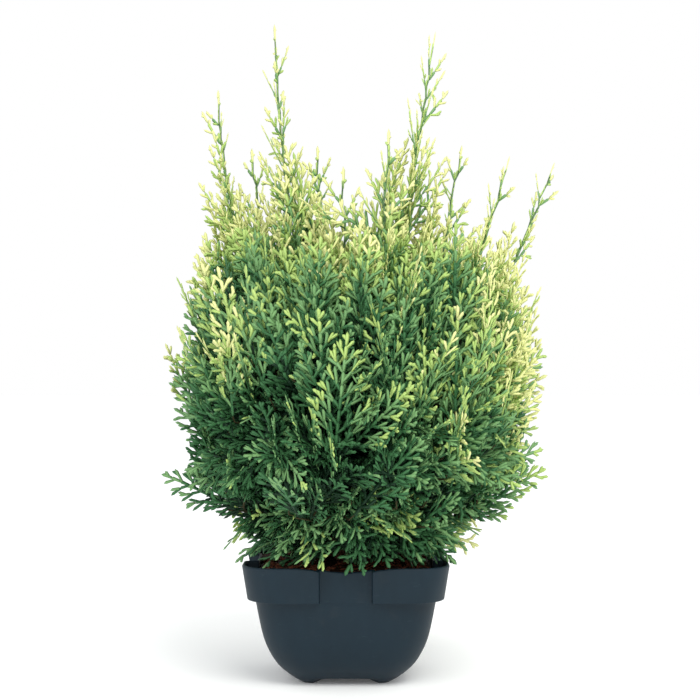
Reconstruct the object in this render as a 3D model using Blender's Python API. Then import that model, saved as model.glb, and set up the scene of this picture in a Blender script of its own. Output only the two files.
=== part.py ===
"""Young false cypress with several leaders, in a square plastic pot.

Metres, +Z up. The origin is the middle of the pot's flat underside.
"""
import math
import random

import bmesh
import bpy
from mathutils import Matrix, Vector
from mathutils.bvhtree import BVHTree

# Clearance between neighbouring pieces
GAP = 0.0003
UP = Vector((0.0, 0.0, 1.0))

# Pot body, from the foot up: height, half width, corner radius
POT_BODY = (
    (0.0000, 0.0280, 0.0070),
    (0.0030, 0.0333, 0.0120),
    (0.0115, 0.0427, 0.0175),
    (0.0210, 0.0487, 0.0210),
    (0.0330, 0.0530, 0.0225),
    (0.0552, 0.0573, 0.0230),
)
# The stepped-out band round the pot's mouth, in the same three values
BAND_FOOT = (0.0560, 0.0619, 0.0220)
BAND_HEAD = (0.0772, 0.0650, 0.0210)
POT_HEIGHT = 0.0780
RIM_OUTER = 0.0643
RIM_INNER = 0.0631
POT_WALL = 0.0016
# Underside: a flat pad in the middle, a hollow round it and the four corner feet
UNDERSIDE_PAD = (0.0000, 0.0120, 0.0050)
UNDERSIDE_HOLLOW = (0.0028, 0.0150, 0.0060)
FOOT_INSIDE = (0.0000, 0.0245, 0.0055)
# A label panel is sunk into the band on each side, flush with the body
PANEL_HALF_WIDTH = 0.0160
PANEL_PLANE = 0.0579
PANEL_EDGE = 0.0006
# The rim dips over each panel, and the foot arches between its corners
DIP_DEPTH = 0.0035
DIP_REACH = 0.0320
ARCH_HEIGHT = 0.0028
ARCH_POWER = 6
CORNER_STEPS = 3
LEAST_CORNER = 0.0040
PANEL_SHARE = 0.6
SMOOTH_POT_ANGLE = math.radians(35.0)

# Soil: height at the wall, then half width and height of the rings up to its flat middle
SOIL_GAP = 0.00045
SOIL_EDGE = 0.0715
SOIL_RINGS = ((0.0530, 0.0726), (0.0125, 0.0750))
SOIL_ROUGHNESS = 0.0007
SOIL_SEED = 5

# Trunk: height above the soil and radius, with a flared foot
TRUNK_SECTIONS = ((0.0, 0.0098), (0.004, 0.0074), (0.012, 0.0062), (0.045, 0.0052), (0.080, 0.0040))
TRUNK_LEAN = Vector((0.045, 0.020, 0.0))
TRUNK_SIDES = 10
FLARE_LOBES = 3
FLARE_DEPTH = 0.16
SMOOTH_BARK_ANGLE = math.radians(50.0)

# Leaders in order round the crown: where each ends, and how far it leans out per metre of rise
LEADERS = (
    ((-0.0459, -0.0120, 0.4130), 0.05),
    ((-0.0018, -0.0300, 0.3190), 0.05),
    ((0.0262, -0.0500, 0.3400), 0.10),
    ((0.0560, -0.0180, 0.4075), 0.17),
    ((0.1025, -0.0220, 0.3270), 0.29),
    ((0.1367, 0.0240, 0.3290), 0.42),
    ((0.0779, 0.0460, 0.3430), 0.20),
    ((-0.0193, 0.0460, 0.3425), 0.08),
    ((-0.0645, 0.0560, 0.3420), 0.12),
    ((-0.0851, 0.0220, 0.3765), 0.06),
)
LEADER_FORK_TOP = 0.148
LEADER_FORK_DROP = 0.10
LEADER_FORK_STEP = 0.0055
LEADER_FORK_TIERS = 3
# A leader swings out from its fork by a share of its reach, and rises to its tip
LEADER_SWING = 0.42
LEADER_SWING_RISE = 0.12
LEADER_CLIMB = 0.52
# Height at which the spaces of the leaders are parted
LEADER_MIDDLE = 0.262

# Rings of boughs below the leaders: count, first azimuth, tip radius and height, fork height
SIDE_RING = {"count": 7, "turn": 12.0, "tip": (0.084, 0.212), "fork": 0.108, "lift": 0.55}
SKIRT_RING = {"count": 7, "turn": 38.0, "tip": (0.088, 0.108), "fork": 0.088, "lift": 0.42}
RING_JITTER_DEGREES = 7.0
RING_JITTER_HEIGHT = 0.012
RING_FORK_STEP = 0.006
RING_FORK_TIERS = 2
# A ring's bough leaves the trunk by a share of its reach, rises, and turns up to its tip
RING_SWING = 0.33
RING_SWING_LIFT = 0.010
RING_SWING_RISE = 0.10
RING_ARRIVE_OUT = 0.9
RING_ARRIVE_RISE = 0.8
# Share of a ring's route at which its space has its middle
RING_MIDDLE = 0.70

# The crown's outline: height and radius round its own middle
CROWN_MIDDLE = Vector((0.006, 0.0, 0.0))
CROWN_OUTLINE = (
    (0.066, 0.080),
    (0.100, 0.090),
    (0.120, 0.128),
    (0.160, 0.128),
    (0.190, 0.126),
    (0.235, 0.122),
    (0.262, 0.112),
    (0.290, 0.094),
    (0.308, 0.070),
    (0.318, 0.020),
)
CROWN_FLOOR = 0.066

# Boughs and stems
BOUGH_RADIUS = 0.0021
BOUGH_SIDES = 5
BOUGH_STEPS = 3
LEAST_BOUGH = 3
FOOT_GAP = 0.00035
FOOT_STEP = 0.00005
STEM_RADIUS = 0.0014
STEM_TIP_RADIUS = 0.0005
STEM_SIDES = 3
STEM_PIECE = 0.030
LEAST_STEM_PIECES = 3
LIMB_SIDE_HINT = Vector((0.13, 0.29, 0.95))
ROUTE_STEPS = 60
ENTRY_MARGIN = 0.004
SPACE_MARGIN = 0.0005

# Sprays: flat toothed blades, each tooth one side shoot
SPRAY_THICKNESS = 0.0013
SPRAY_PITCH = 0.0140
SPINE_HALF_WIDTH = 0.0011
SPINE_TAPER = 0.5
SPRAY_THINNING = 0.4
FIRST_SHOOT = 0.14
SHOOT_STRETCH = 0.76
SHOOT_ANGLE = math.radians(42.0)
SHOOT_SHARE = 0.46
SHOOT_SWELL_START = 0.05
SHOOT_SWELL_LENGTH = 0.25
SHOOT_SWELL_POWER = 0.5
SHOOT_TAPER_POWER = 0.7
SPRAY_UPTURN = 0.6
SPRAY_ROLL = math.radians(32.0)
SPRAY_TRIALS = (1.0, 0.82, 0.66)
PLAN_TRIES = 8
LENGTH_RANGE = (0.9, 1.1)
LIFT_RANGE = (0.4, 1.2)
SPACING_RANGE = (0.85, 1.15)
GROWTH_SEED = 23

# For each kind of mass: spacing and length of its sprays, how far they turn from the stem and
# round it in degrees, and how much they curve up
SPRAY_RULES = {
    "leader": {"spacing": 0.008, "long": 0.074, "angle": (38, 74), "fan": (0, 95), "lift": 0.12},
    "side": {"spacing": 0.008, "long": 0.082, "angle": (30, 66), "fan": (5, 125), "lift": 0.12},
    "skirt": {"spacing": 0.008, "long": 0.082, "angle": (26, 60), "fan": (0, 125), "lift": -0.14},
}
FIRST_SPRAY = 0.004
LAST_SPRAY = 0.004
# The spray that ends a stem: how deep its root lies, and its share of the usual length
ENDING_ROOT = 0.002
ENDING_SHARE = 0.75
# Short sprays on the free shoot of a leader: length at its tip, and more for each metre below
SHOOT_TIP_SPRAY = 0.010
SHOOT_GROWTH = 0.17
SHOOT_SPACING = 0.017
FREE_FAN = (30, 125)
FREE_ANGLE = (34, 50)
FREE_DEPTH = 0.010

MODEL_NAME = "potted_false_cypress"


def clear_scene():
    for item in list(bpy.data.objects):
        bpy.data.objects.remove(item, do_unlink=True)


def new_collection(name):
    collection = bpy.data.collections.new(name)
    bpy.context.scene.collection.children.link(collection)
    return collection


def principled(name, colour, roughness, metallic=0.0):
    material = bpy.data.materials.new(name)
    material.use_nodes = True
    shader = material.node_tree.nodes["Principled BSDF"]
    shader.inputs["Base Color"].default_value = (*colour, 1.0)
    shader.inputs["Roughness"].default_value = roughness
    shader.inputs["Metallic"].default_value = metallic
    return material


def closed_mesh(name, shape):
    bmesh.ops.recalc_face_normals(shape, faces=shape.faces)
    mesh = bpy.data.meshes.new(name)
    shape.to_mesh(mesh)
    shape.free()
    return mesh


def add_piece(name, mesh, material, collection):
    piece = bpy.data.objects.new(name, mesh)
    mesh.materials.append(material)
    collection.objects.link(piece)
    return piece


def loft(rings):
    """A closed body through rings of equal count, capped at both ends."""
    shape = bmesh.new()
    rows = [[shape.verts.new(point) for point in ring] for ring in rings]
    for lower, upper in zip(rows, rows[1:]):
        for index, corner in enumerate(lower):
            following = (index + 1) % len(lower)
            shape.faces.new((corner, lower[following], upper[following], upper[index]))
    shape.faces.new(reversed(rows[0]))
    shape.faces.new(rows[-1])
    return shape


def mix(low, high, share):
    return low + (high - low) * share


def bump(share):
    """A smooth rise from 0 at the ends, plus and minus 1, to 1 in the middle."""
    return math.cos(math.pi / 2 * share) ** 2 if abs(share) < 1 else 0.0


def arched(share):
    """A flat-topped rise, from 0 at the ends, plus and minus 1."""
    return 1 - share ** ARCH_POWER


# Pot and soil

def side_steps(straight, panel):
    middle = (panel + PANEL_EDGE + straight) / 2
    right = (panel, panel + PANEL_EDGE, middle, straight)
    return [-step for step in reversed(right)] + [0.0] + list(right)


def pot_ring(section, inset=0.0, dip=0.0, arch=0.0, sunk=False):
    """One square ring with round corners, inset for the inner wall or the soil."""
    height, half, corner = section
    recess = half - PANEL_PLANE if sunk else 0.0
    half -= inset
    corner = max(corner - inset, LEAST_CORNER)
    straight = half - corner
    panel = min(PANEL_HALF_WIDTH + inset, PANEL_SHARE * straight)
    ring = []
    for side in range(4):
        turn = Matrix.Rotation(side * math.pi / 2, 3, "Z")
        for step in side_steps(straight, panel):
            depth = half - (recess if abs(step) <= panel else 0.0)
            level = height - dip * bump(step / DIP_REACH) + arch * arched(step / straight)
            ring.append(turn @ Vector((step, -depth, level)))
        for index in range(1, CORNER_STEPS):
            angle = math.pi / 2 * (index / CORNER_STEPS - 1)
            across = straight + corner * math.cos(angle)
            depth = -straight + corner * math.sin(angle)
            ring.append(turn @ Vector((across, depth, height)))
    return ring


def raised(section, inset):
    height, half, corner = section
    return height + inset, half, corner


def inner_rings(inset, sections):
    """The inside of the pot from its floor to the foot of the band, drawn in by inset."""
    rings = [pot_ring(raised(section, inset), inset) for section in sections]
    rings.append(pot_ring(raised(BAND_FOOT, inset), inset, sunk=True))
    return rings


def build_pot(collection):
    rings = [pot_ring(UNDERSIDE_PAD), pot_ring(UNDERSIDE_HOLLOW)]
    rings += [pot_ring(section, arch=ARCH_HEIGHT) for section in (FOOT_INSIDE, POT_BODY[0])]
    rings.append(pot_ring(POT_BODY[1], arch=ARCH_HEIGHT / 2))
    rings += [pot_ring(section) for section in POT_BODY[2:]]
    rings.append(pot_ring(BAND_FOOT, sunk=True))
    rings.append(pot_ring(BAND_HEAD, dip=DIP_DEPTH, sunk=True))
    for half in (RIM_OUTER, RIM_INNER):
        inset = BAND_HEAD[1] - half
        rings.append(pot_ring((POT_HEIGHT, *BAND_HEAD[1:]), inset, dip=DIP_DEPTH, sunk=True))
    rings += reversed(inner_rings(POT_WALL, POT_BODY[1:]))
    mesh = closed_mesh("pot", loft(rings))
    mesh.shade_smooth()
    mesh.set_sharp_from_angle(angle=SMOOTH_POT_ANGLE)
    return add_piece("pot", mesh, principled("pot plastic", (0.024, 0.042, 0.058), 0.42), collection)


def build_soil(collection):
    chance = random.Random(SOIL_SEED)
    inset = POT_WALL + SOIL_GAP
    share = (SOIL_EDGE - BAND_FOOT[0] - POT_WALL) / (POT_HEIGHT - BAND_FOOT[0] - POT_WALL)
    half = mix(BAND_FOOT[1] - POT_WALL, RIM_INNER, share) - SOIL_GAP
    rings = inner_rings(inset, (POT_BODY[1], POT_BODY[2], POT_BODY[-1]))
    rings.append(pot_ring((SOIL_EDGE, half + inset, BAND_HEAD[2]), inset, sunk=True))
    plan = pot_ring((0.0, SOIL_RINGS[0][0] + inset, BAND_HEAD[2]), inset)
    for width, height in SOIL_RINGS:
        scale = width / SOIL_RINGS[0][0]
        rough = SOIL_ROUGHNESS if height < SOIL_RINGS[-1][1] else 0.0
        level = [height + chance.uniform(-rough, rough) for point in plan]
        rings.append([Vector((p.x * scale, p.y * scale, z)) for p, z in zip(plan, level)])
    mesh = closed_mesh("soil", loft(rings))
    return add_piece("soil", mesh, principled("peat and bark", (0.055, 0.026, 0.016), 0.95), collection)


# Trunk, boughs and stems

def trunk_axis(height):
    above = height - trunk_foot()
    return Vector((TRUNK_LEAN.x * above, TRUNK_LEAN.y * above, height))


def trunk_foot():
    return SOIL_RINGS[-1][1] + GAP


def trunk_radius(height):
    above = height - trunk_foot()
    for low, high in zip(TRUNK_SECTIONS, TRUNK_SECTIONS[1:]):
        if above <= high[0]:
            return mix(low[1], high[1], (above - low[0]) / (high[0] - low[0]))
    return TRUNK_SECTIONS[-1][1]


def build_trunk(material, collection):
    rings = []
    for above, radius in TRUNK_SECTIONS:
        centre = trunk_axis(trunk_foot() + above)
        flare = FLARE_DEPTH * (radius / TRUNK_SECTIONS[0][1]) ** 4
        ring = []
        for side in range(TRUNK_SIDES):
            angle = 2 * math.pi * side / TRUNK_SIDES
            reach = radius * (1 + flare * math.cos(FLARE_LOBES * angle) - flare)
            ring.append(centre + Vector((math.cos(angle), math.sin(angle), 0.0)) * reach)
        rings.append(ring)
    mesh = closed_mesh("trunk", loft(rings))
    mesh.shade_smooth()
    mesh.set_sharp_from_angle(angle=SMOOTH_BARK_ANGLE)
    return add_piece("trunk", mesh, material, collection)


def bezier(start, leave, arrive, end, share):
    rest = 1 - share
    return (start * rest ** 3 + leave * 3 * rest * rest * share
            + arrive * 3 * rest * share * share + end * share ** 3)


def draw_route(fork, leave, arrive, tip):
    return [bezier(fork, leave, arrive, tip, k / ROUTE_STEPS) for k in range(ROUTE_STEPS + 1)]


def leader_routes():
    routes = []
    for index, (tip, lean) in enumerate(LEADERS):
        tip = Vector(tip)
        out = Vector((tip.x, tip.y, 0.0))
        drop = LEADER_FORK_DROP * out.length + LEADER_FORK_STEP * (index % LEADER_FORK_TIERS)
        fork = trunk_axis(LEADER_FORK_TOP - drop)
        rise = tip.z - fork.z
        leave = fork + out * LEADER_SWING + UP * rise * LEADER_SWING_RISE
        arrive = tip - (out.normalized() * lean + UP) * rise * LEADER_CLIMB
        routes.append(draw_route(fork, leave, arrive, tip))
    return routes


def ring_routes(ring, chance):
    radius, height = ring["tip"]
    routes = []
    for index in range(ring["count"]):
        jitter = chance.uniform(-RING_JITTER_DEGREES, RING_JITTER_DEGREES)
        azimuth = math.radians(ring["turn"] + 360.0 * index / ring["count"] + jitter)
        out = Vector((math.cos(azimuth), math.sin(azimuth), 0.0))
        level = height + chance.uniform(-RING_JITTER_HEIGHT, RING_JITTER_HEIGHT)
        tip = CROWN_MIDDLE + out * radius + UP * level
        fork = trunk_axis(ring["fork"] + RING_FORK_STEP * (index % RING_FORK_TIERS))
        rise = tip.z - fork.z
        leave = fork + out * radius * RING_SWING + UP * (RING_SWING_LIFT + rise * RING_SWING_RISE)
        arrive = tip - out * radius * (1 - ring["lift"]) * RING_ARRIVE_OUT
        arrive = arrive - UP * rise * ring["lift"] * RING_ARRIVE_RISE
        routes.append(draw_route(fork, leave, arrive, tip))
    return routes


def mass_middle(kind, route):
    """Leaders are parted by upright planes, because their middles lie at one height."""
    if kind == "leader":
        return next(point for point in route if point.z >= LEADER_MIDDLE)
    return route[round(ROUTE_STEPS * RING_MIDDLE)]


def frame_along(tangent):
    side = tangent.cross(LIMB_SIDE_HINT).normalized()
    return side, side.cross(tangent).normalized()


def limb_mesh(name, points, start_radius, end_radius, sides):
    """A tapering limb through points, with flat ends square to its course."""
    rings = []
    last = len(points) - 1
    for index, point in enumerate(points):
        ahead = points[min(index + 1, last)] - points[max(index - 1, 0)]
        radius = mix(start_radius, end_radius, index / last)
        rings.append(limb_ring(point, ahead.normalized(), radius, sides))
    return loft(rings)


def thin_out(points, steps):
    last = len(points) - 1
    return [points[round(last * k / steps)] for k in range(steps + 1)]


def trim_front(points, length):
    """Cut a length off the start of a route."""
    points = list(points)
    while (points[1] - points[0]).length <= length:
        length -= (points[1] - points[0]).length
        points.pop(0)
    points[0] = points[0] + (points[1] - points[0]).normalized() * length
    return points


def limb_ring(centre, course, radius, sides):
    side, over = frame_along(course)
    angles = [2 * math.pi * k / sides for k in range(sides)]
    return [centre + (side * math.cos(a) + over * math.sin(a)) * radius for a in angles]


def foot_clearance(foot, course, trunk_tree):
    """How far a bough's foot ring lies from the trunk's surface."""
    ring = limb_ring(foot, course, BOUGH_RADIUS, BOUGH_SIDES)
    ring += [(ring[k - 1] + ring[k]) / 2 for k in range(BOUGH_SIDES)]
    return min(trunk_tree.find_nearest(point)[3] for point in ring)


def leave_trunk(route):
    """The stretch of a route that is clear of the trunk by more than a bough's radius."""
    for index, point in enumerate(route):
        axis = trunk_axis(point.z)
        reached = Vector((point.x - axis.x, point.y - axis.y)).length
        if reached > trunk_radius(point.z) + BOUGH_RADIUS + 4 * GAP:
            return list(route[index:])
    raise ValueError("a route never leaves the trunk")


def seat_foot(points, trunk_tree):
    """Slide a bough's foot back along its first stretch until it just clears the trunk."""
    course = (points[1] - points[0]).normalized()
    foot = points[0]
    while foot_clearance(foot - course * FOOT_STEP, course, trunk_tree) > FOOT_GAP:
        foot = foot - course * FOOT_STEP
    return [foot] + points[1:]


# The space of each mass: every point that lies nearer to its middle than to another's

class Space:
    def __init__(self, middle, others):
        self.middle = middle
        self.walls = []
        for other in others:
            away = (other - middle).normalized()
            self.walls.append((away, away.dot((other + middle) / 2)))

    def depth(self, point):
        return min(limit - away.dot(point) for away, limit in self.walls)


def crown_radius(height):
    for low, high in zip(CROWN_OUTLINE, CROWN_OUTLINE[1:]):
        if height <= high[0]:
            share = max(0.0, (height - low[0]) / (high[0] - low[0]))
            return mix(low[1], high[1], share)
    return 0.0


def inside_crown(point):
    if point.z < CROWN_FLOOR:
        return False
    limit = crown_radius(point.z)
    off = point - CROWN_MIDDLE
    return off.x * off.x + off.y * off.y < limit * limit


# Sprays

def shoot_length(share, length):
    """How long a spray's side shoots are, along its spine."""
    swell = min(1.0, (share + SHOOT_SWELL_START) / SHOOT_SWELL_LENGTH) ** SHOOT_SWELL_POWER
    return length * SHOOT_SHARE * swell * (1 - share) ** SHOOT_TAPER_POWER


class Spray:
    """A flat frond: a spine that bends, and pairs of side shoots that shorten to its tip."""

    def __init__(self, root, course, facing, length, bend):
        self.root = root
        self.course = course.normalized()
        self.facing = facing
        self.length = length
        self.bend = bend

    def at(self, share):
        return self.root + (self.course * share + self.bend * share * share) * self.length

    def frame(self, share):
        along = (self.course + self.bend * 2 * share).normalized()
        across = along.cross(self.facing).normalized()
        return along, across, across.cross(along).normalized()

    def stations(self):
        pairs = max(1, round(self.length / SPRAY_PITCH))
        return [0.0] + [FIRST_SHOOT + SHOOT_STRETCH * k / pairs for k in range(pairs + 1)]

    def shape(self, swell=0.0):
        """The toothed blade, made thicker and wider by swell for a clearance test."""
        shape = bmesh.new()
        rows = []
        stations = self.stations()
        for share in stations:
            centre = self.at(share)
            along, across, over = self.frame(share)
            wide = across * (SPINE_HALF_WIDTH * (1 - SPINE_TAPER * share) + swell)
            thick = over * (SPRAY_THICKNESS / 2 * (1 - SPRAY_THINNING * share) + swell)
            corners = (wide + thick, thick - wide, -wide - thick, wide - thick)
            rows.append([shape.verts.new(centre + corner) for corner in corners])
        shape.faces.new(reversed(rows[0]))
        for index, (low, high) in enumerate(zip(rows, rows[1:])):
            shape.faces.new((low[0], low[1], high[1], high[0]))
            shape.faces.new((low[2], low[3], high[3], high[2]))
            for first, second, hand in ((0, 3, 1), (2, 1, -1)):
                if index == 0:
                    shape.faces.new((low[first], high[first], high[second], low[second]))
                    continue
                share = (stations[index] + stations[index + 1]) / 2
                tip = shape.verts.new(self.shoot_tip(share, hand, swell))
                shape.faces.new((low[first], high[first], tip))
                shape.faces.new((high[second], low[second], tip))
                shape.faces.new((low[second], low[first], tip))
                shape.faces.new((high[first], high[second], tip))
        apex = shape.verts.new(self.at(1.0) + self.frame(1.0)[0] * swell)
        top = rows[-1]
        for index in range(4):
            shape.faces.new((top[index], top[(index + 1) % 4], apex))
        bmesh.ops.recalc_face_normals(shape, faces=shape.faces)
        return shape

    def shoot_tip(self, share, hand, swell=0.0):
        along, across, over = self.frame(share)
        reach = shoot_length(share, self.length) + swell
        course = along * math.cos(SHOOT_ANGLE) + across * math.sin(SHOOT_ANGLE) * hand
        return self.at(share) + course * reach


class Mass:
    """One stem and the sprays on it, inside one space of the crown."""

    def __init__(self, name, kind, route, space, seed):
        self.name = name
        self.kind = kind
        self.space = space
        self.chance = random.Random(seed)
        start = leave_trunk(route)
        inside = [k for k, point in enumerate(start) if space.depth(point) > ENTRY_MARGIN]
        entry = next(k for k in inside if k > LEAST_BOUGH)
        self.bough = start[:entry + 1]
        self.stem = trim_front(start[entry:], GAP)
        self.lengths = stem_lengths(self.stem)
        self.sprays = []
        self.taken = []

    def fits(self, spray, free_shoot, limbs):
        """Whether a spray stays in the space, and clear of every limb and of the stem's other sprays."""
        shape = spray.shape(swell=GAP)
        points = [vertex.co for vertex in shape.verts]
        clear = all(self.space.depth(point) > SPACE_MARGIN for point in points)
        clear = clear and (free_shoot or all(inside_crown(point) for point in points))
        if clear:
            tree = BVHTree.FromBMesh(shape)
            clear = not any(tree.overlap(other) for other in limbs + self.taken)
        shape.free()
        return clear

    def keep(self, spray):
        shape = spray.shape()
        self.taken.append(BVHTree.FromBMesh(shape))
        shape.free()
        self.sprays.append(spray)

    def place(self, distance, hand, limbs):
        """Try a few ways to place one spray, at full length first and then cut back."""
        free_shoot = self.is_free(distance)
        for trial in SPRAY_TRIALS:
            for attempt in range(PLAN_TRIES):
                spray = plan_spray(self, distance, hand, free_shoot, trial)
                if self.fits(spray, free_shoot, limbs):
                    self.keep(spray)
                    return

    def is_free(self, distance):
        """Whether the stem stands out of the crown's outline at a distance from its foot."""
        point = stem_point(self.stem, self.lengths, distance)[0]
        return self.kind == "leader" and not inside_crown(point + outward(point) * FREE_DEPTH)

    def grow(self, limbs):
        rule = SPRAY_RULES[self.kind]
        tip, last = self.stem[-1], self.stem[-2]
        course = (tip - last).normalized()
        free_shoot = self.kind == "leader"
        ending = SHOOT_TIP_SPRAY if free_shoot else rule["long"] * ENDING_SHARE
        facing = spray_facing(course, tip, self.chance)
        spray = Spray(tip - course * ENDING_ROOT, course, facing, ending, UP * rule["lift"])
        if self.fits(spray, free_shoot, limbs):
            self.keep(spray)
        total = self.lengths[-1]
        hand = self.chance.choice((-1, 1))
        distance = FIRST_SPRAY
        while distance < total - LAST_SPRAY:
            self.place(distance, hand, limbs)
            hand = -hand
            step = SHOOT_SPACING if self.is_free(distance) else rule["spacing"]
            distance += step * self.chance.uniform(*SPACING_RANGE)


def outward(point):
    out = Vector((point.x - CROWN_MIDDLE.x, point.y - CROWN_MIDDLE.y, 0.0))
    return out.normalized() if out.length > 1e-6 else Vector((1.0, 0.0, 0.0))


def stem_lengths(stem):
    lengths = [0.0]
    for low, high in zip(stem, stem[1:]):
        lengths.append(lengths[-1] + (high - low).length)
    return lengths


def stem_point(stem, lengths, distance):
    """The point and the course at a distance along a stem."""
    for index in range(len(stem) - 1):
        if distance <= lengths[index + 1]:
            span = lengths[index + 1] - lengths[index]
            course = stem[index + 1] - stem[index]
            return stem[index] + course * ((distance - lengths[index]) / span), course.normalized()
    return stem[-1], (stem[-1] - stem[-2]).normalized()


def spray_facing(heading, point, chance):
    """A spray shows its flat side outwards and a little up."""
    sheet = outward(point) + UP * SPRAY_UPTURN
    facing = (sheet - heading * sheet.dot(heading)).normalized()
    return Matrix.Rotation(chance.uniform(-1, 1) * SPRAY_ROLL, 3, heading) @ facing


def plan_spray(mass, distance, hand, free_shoot, trial):
    """One spray that leaves the stem at a distance from its foot, cut back to a share of its length."""
    rule = SPRAY_RULES[mass.kind]
    chance = mass.chance
    point, course = stem_point(mass.stem, mass.lengths, distance)
    length = rule["long"]
    if free_shoot:
        length = SHOOT_TIP_SPRAY + SHOOT_GROWTH * (mass.lengths[-1] - distance)
    guide = UP if mass.kind == "skirt" else outward(point)
    level = (guide - course * guide.dot(course)).normalized()
    fan, splay = (FREE_FAN, FREE_ANGLE) if free_shoot else (rule["fan"], rule["angle"])
    away = Matrix.Rotation(math.radians(chance.uniform(*fan)) * hand, 3, course) @ level
    angle = math.radians(chance.uniform(*splay))
    heading = course * math.cos(angle) + away * math.sin(angle)
    bend = UP * rule["lift"] * chance.uniform(*LIFT_RANGE)
    facing = spray_facing(heading, point, chance)
    return Spray(point, heading, facing, length * trial * chance.uniform(*LENGTH_RANGE), bend)


def build_mass(mass, material, collection):
    """Fuse the stem and its sprays with one Boolean union on a collection."""
    loose = new_collection(mass.name + "_sprays")
    steps = max(LEAST_STEM_PIECES, round(mass.lengths[-1] / STEM_PIECE))
    points = thin_out(mass.stem, steps)
    stem = closed_mesh(mass.name, limb_mesh(mass.name, points, STEM_RADIUS, STEM_TIP_RADIUS, STEM_SIDES))
    body = add_piece(mass.name, stem, material, collection)
    for index, spray in enumerate(mass.sprays):
        mesh = closed_mesh(f"{mass.name}_spray_{index}", spray.shape())
        loose.objects.link(bpy.data.objects.new(mesh.name, mesh))
    union = body.modifiers.new("fuse", "BOOLEAN")
    union.operation = "UNION"
    union.operand_type = "COLLECTION"
    union.collection = loose
    union.solver = "MANIFOLD"
    bpy.context.view_layer.objects.active = body
    body.select_set(True)
    bpy.ops.object.modifier_apply(modifier=union.name)
    body.select_set(False)
    for item in list(loose.objects):
        bpy.data.objects.remove(item, do_unlink=True)
    bpy.data.collections.remove(loose)
    return body


def tree_of(piece):
    points = [vertex.co for vertex in piece.data.vertices]
    return BVHTree.FromPolygons(points, [face.vertices for face in piece.data.polygons])


def build_plant(collection):
    bark = principled("bark", (0.110, 0.060, 0.035), 0.85)
    foliage = principled("scale foliage", (0.075, 0.165, 0.070), 0.60)
    chance = random.Random(GROWTH_SEED)
    kinds = [("leader", leader_routes()), ("side", ring_routes(SIDE_RING, chance))]
    kinds.append(("skirt", ring_routes(SKIRT_RING, chance)))
    rows = [(kind, index + 1, route) for kind, routes in kinds for index, route in enumerate(routes)]
    middles = [mass_middle(kind, route) for kind, index, route in rows]
    masses = []
    for number, (kind, index, route) in enumerate(rows):
        others = middles[:number] + middles[number + 1:]
        space = Space(middles[number], others)
        masses.append(Mass(f"{kind}_mass_{index}", kind, route, space, GROWTH_SEED + number))
    limbs = [build_trunk(bark, collection)]
    trunk_tree = tree_of(limbs[0])
    for mass in masses:
        name = mass.name.replace("mass", "bough")
        points = seat_foot(thin_out(mass.bough, BOUGH_STEPS), trunk_tree)
        shape = limb_mesh(name, points, BOUGH_RADIUS, STEM_RADIUS, BOUGH_SIDES)
        limbs.append(add_piece(name, closed_mesh(name, shape), bark, collection))
    hard = [tree_of(limb) for limb in limbs]
    hard += [tree_of(bpy.data.objects["pot"]), tree_of(bpy.data.objects["soil"])]
    for mass in masses:
        mass.grow(hard)
        build_mass(mass, foliage, collection)
    return masses


def main():
    clear_scene()
    collection = new_collection(MODEL_NAME)
    build_pot(collection)
    build_soil(collection)
    return build_plant(collection)


main()
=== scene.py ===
import math
import random

import bmesh
import bpy
import numpy as np
from mathutils import Matrix, Vector, noise
from mathutils.bvhtree import BVHTree


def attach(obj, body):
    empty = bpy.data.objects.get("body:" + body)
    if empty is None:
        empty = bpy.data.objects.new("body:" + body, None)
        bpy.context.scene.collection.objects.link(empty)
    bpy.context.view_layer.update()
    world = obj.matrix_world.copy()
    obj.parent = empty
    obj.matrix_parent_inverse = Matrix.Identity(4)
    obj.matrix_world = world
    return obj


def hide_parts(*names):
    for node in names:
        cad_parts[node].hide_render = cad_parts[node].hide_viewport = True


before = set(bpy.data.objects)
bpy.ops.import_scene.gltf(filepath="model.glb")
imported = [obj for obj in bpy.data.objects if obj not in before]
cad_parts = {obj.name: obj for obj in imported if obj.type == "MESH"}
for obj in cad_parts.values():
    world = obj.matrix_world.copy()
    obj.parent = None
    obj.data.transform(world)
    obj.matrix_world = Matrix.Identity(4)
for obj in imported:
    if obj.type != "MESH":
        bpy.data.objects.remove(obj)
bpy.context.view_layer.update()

# Looks of a young false cypress with several leaders, in a square plastic pot. Metres, +Z up.

UP = Vector((0.0, 0.0, 1.0))
GAP = 0.0003
LEAST_LENGTH = 1e-6

# Pot body, from the foot up: height, half width, corner radius
POT_BODY = (
    (0.0000, 0.0280, 0.0070),
    (0.0030, 0.0333, 0.0120),
    (0.0115, 0.0427, 0.0175),
    (0.0210, 0.0487, 0.0210),
    (0.0330, 0.0530, 0.0225),
    (0.0552, 0.0573, 0.0230),
)
BAND_FOOT = (0.0560, 0.0619, 0.0220)
BAND_HEAD = (0.0772, 0.0650, 0.0210)
POT_HEIGHT = 0.0780
RIM_OUTER = 0.0643
RIM_INNER = 0.0631
RIM_ROUND = 0.0003
POT_WALL = 0.0016
# Underside: a flat pad in the middle, a hollow round it and the four corner feet
UNDERSIDE_PAD = (0.0000, 0.0120, 0.0050)
UNDERSIDE_HOLLOW = (0.0028, 0.0150, 0.0060)
FOOT_INSIDE = (0.0000, 0.0245, 0.0055)
PANEL_HALF_WIDTH = 0.0160
PANEL_PLANE = 0.0579
PANEL_EDGE = 0.0006
DIP_DEPTH = 0.0035
DIP_REACH = 0.0320
ARCH_HEIGHT = 0.0028
ARCH_POWER = 6
CORNER_STEPS = 12
LEAST_CORNER = 0.0040
PANEL_SHARE = 0.6
BODY_PIECES = 6
BEVEL_WIDTH = 0.00035
BEVEL_STEPS = 2
BEVEL_ANGLE = math.radians(32.0)
POT_SMOOTH = math.radians(38.0)
SOFT_SMOOTH = math.radians(60.0)

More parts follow.
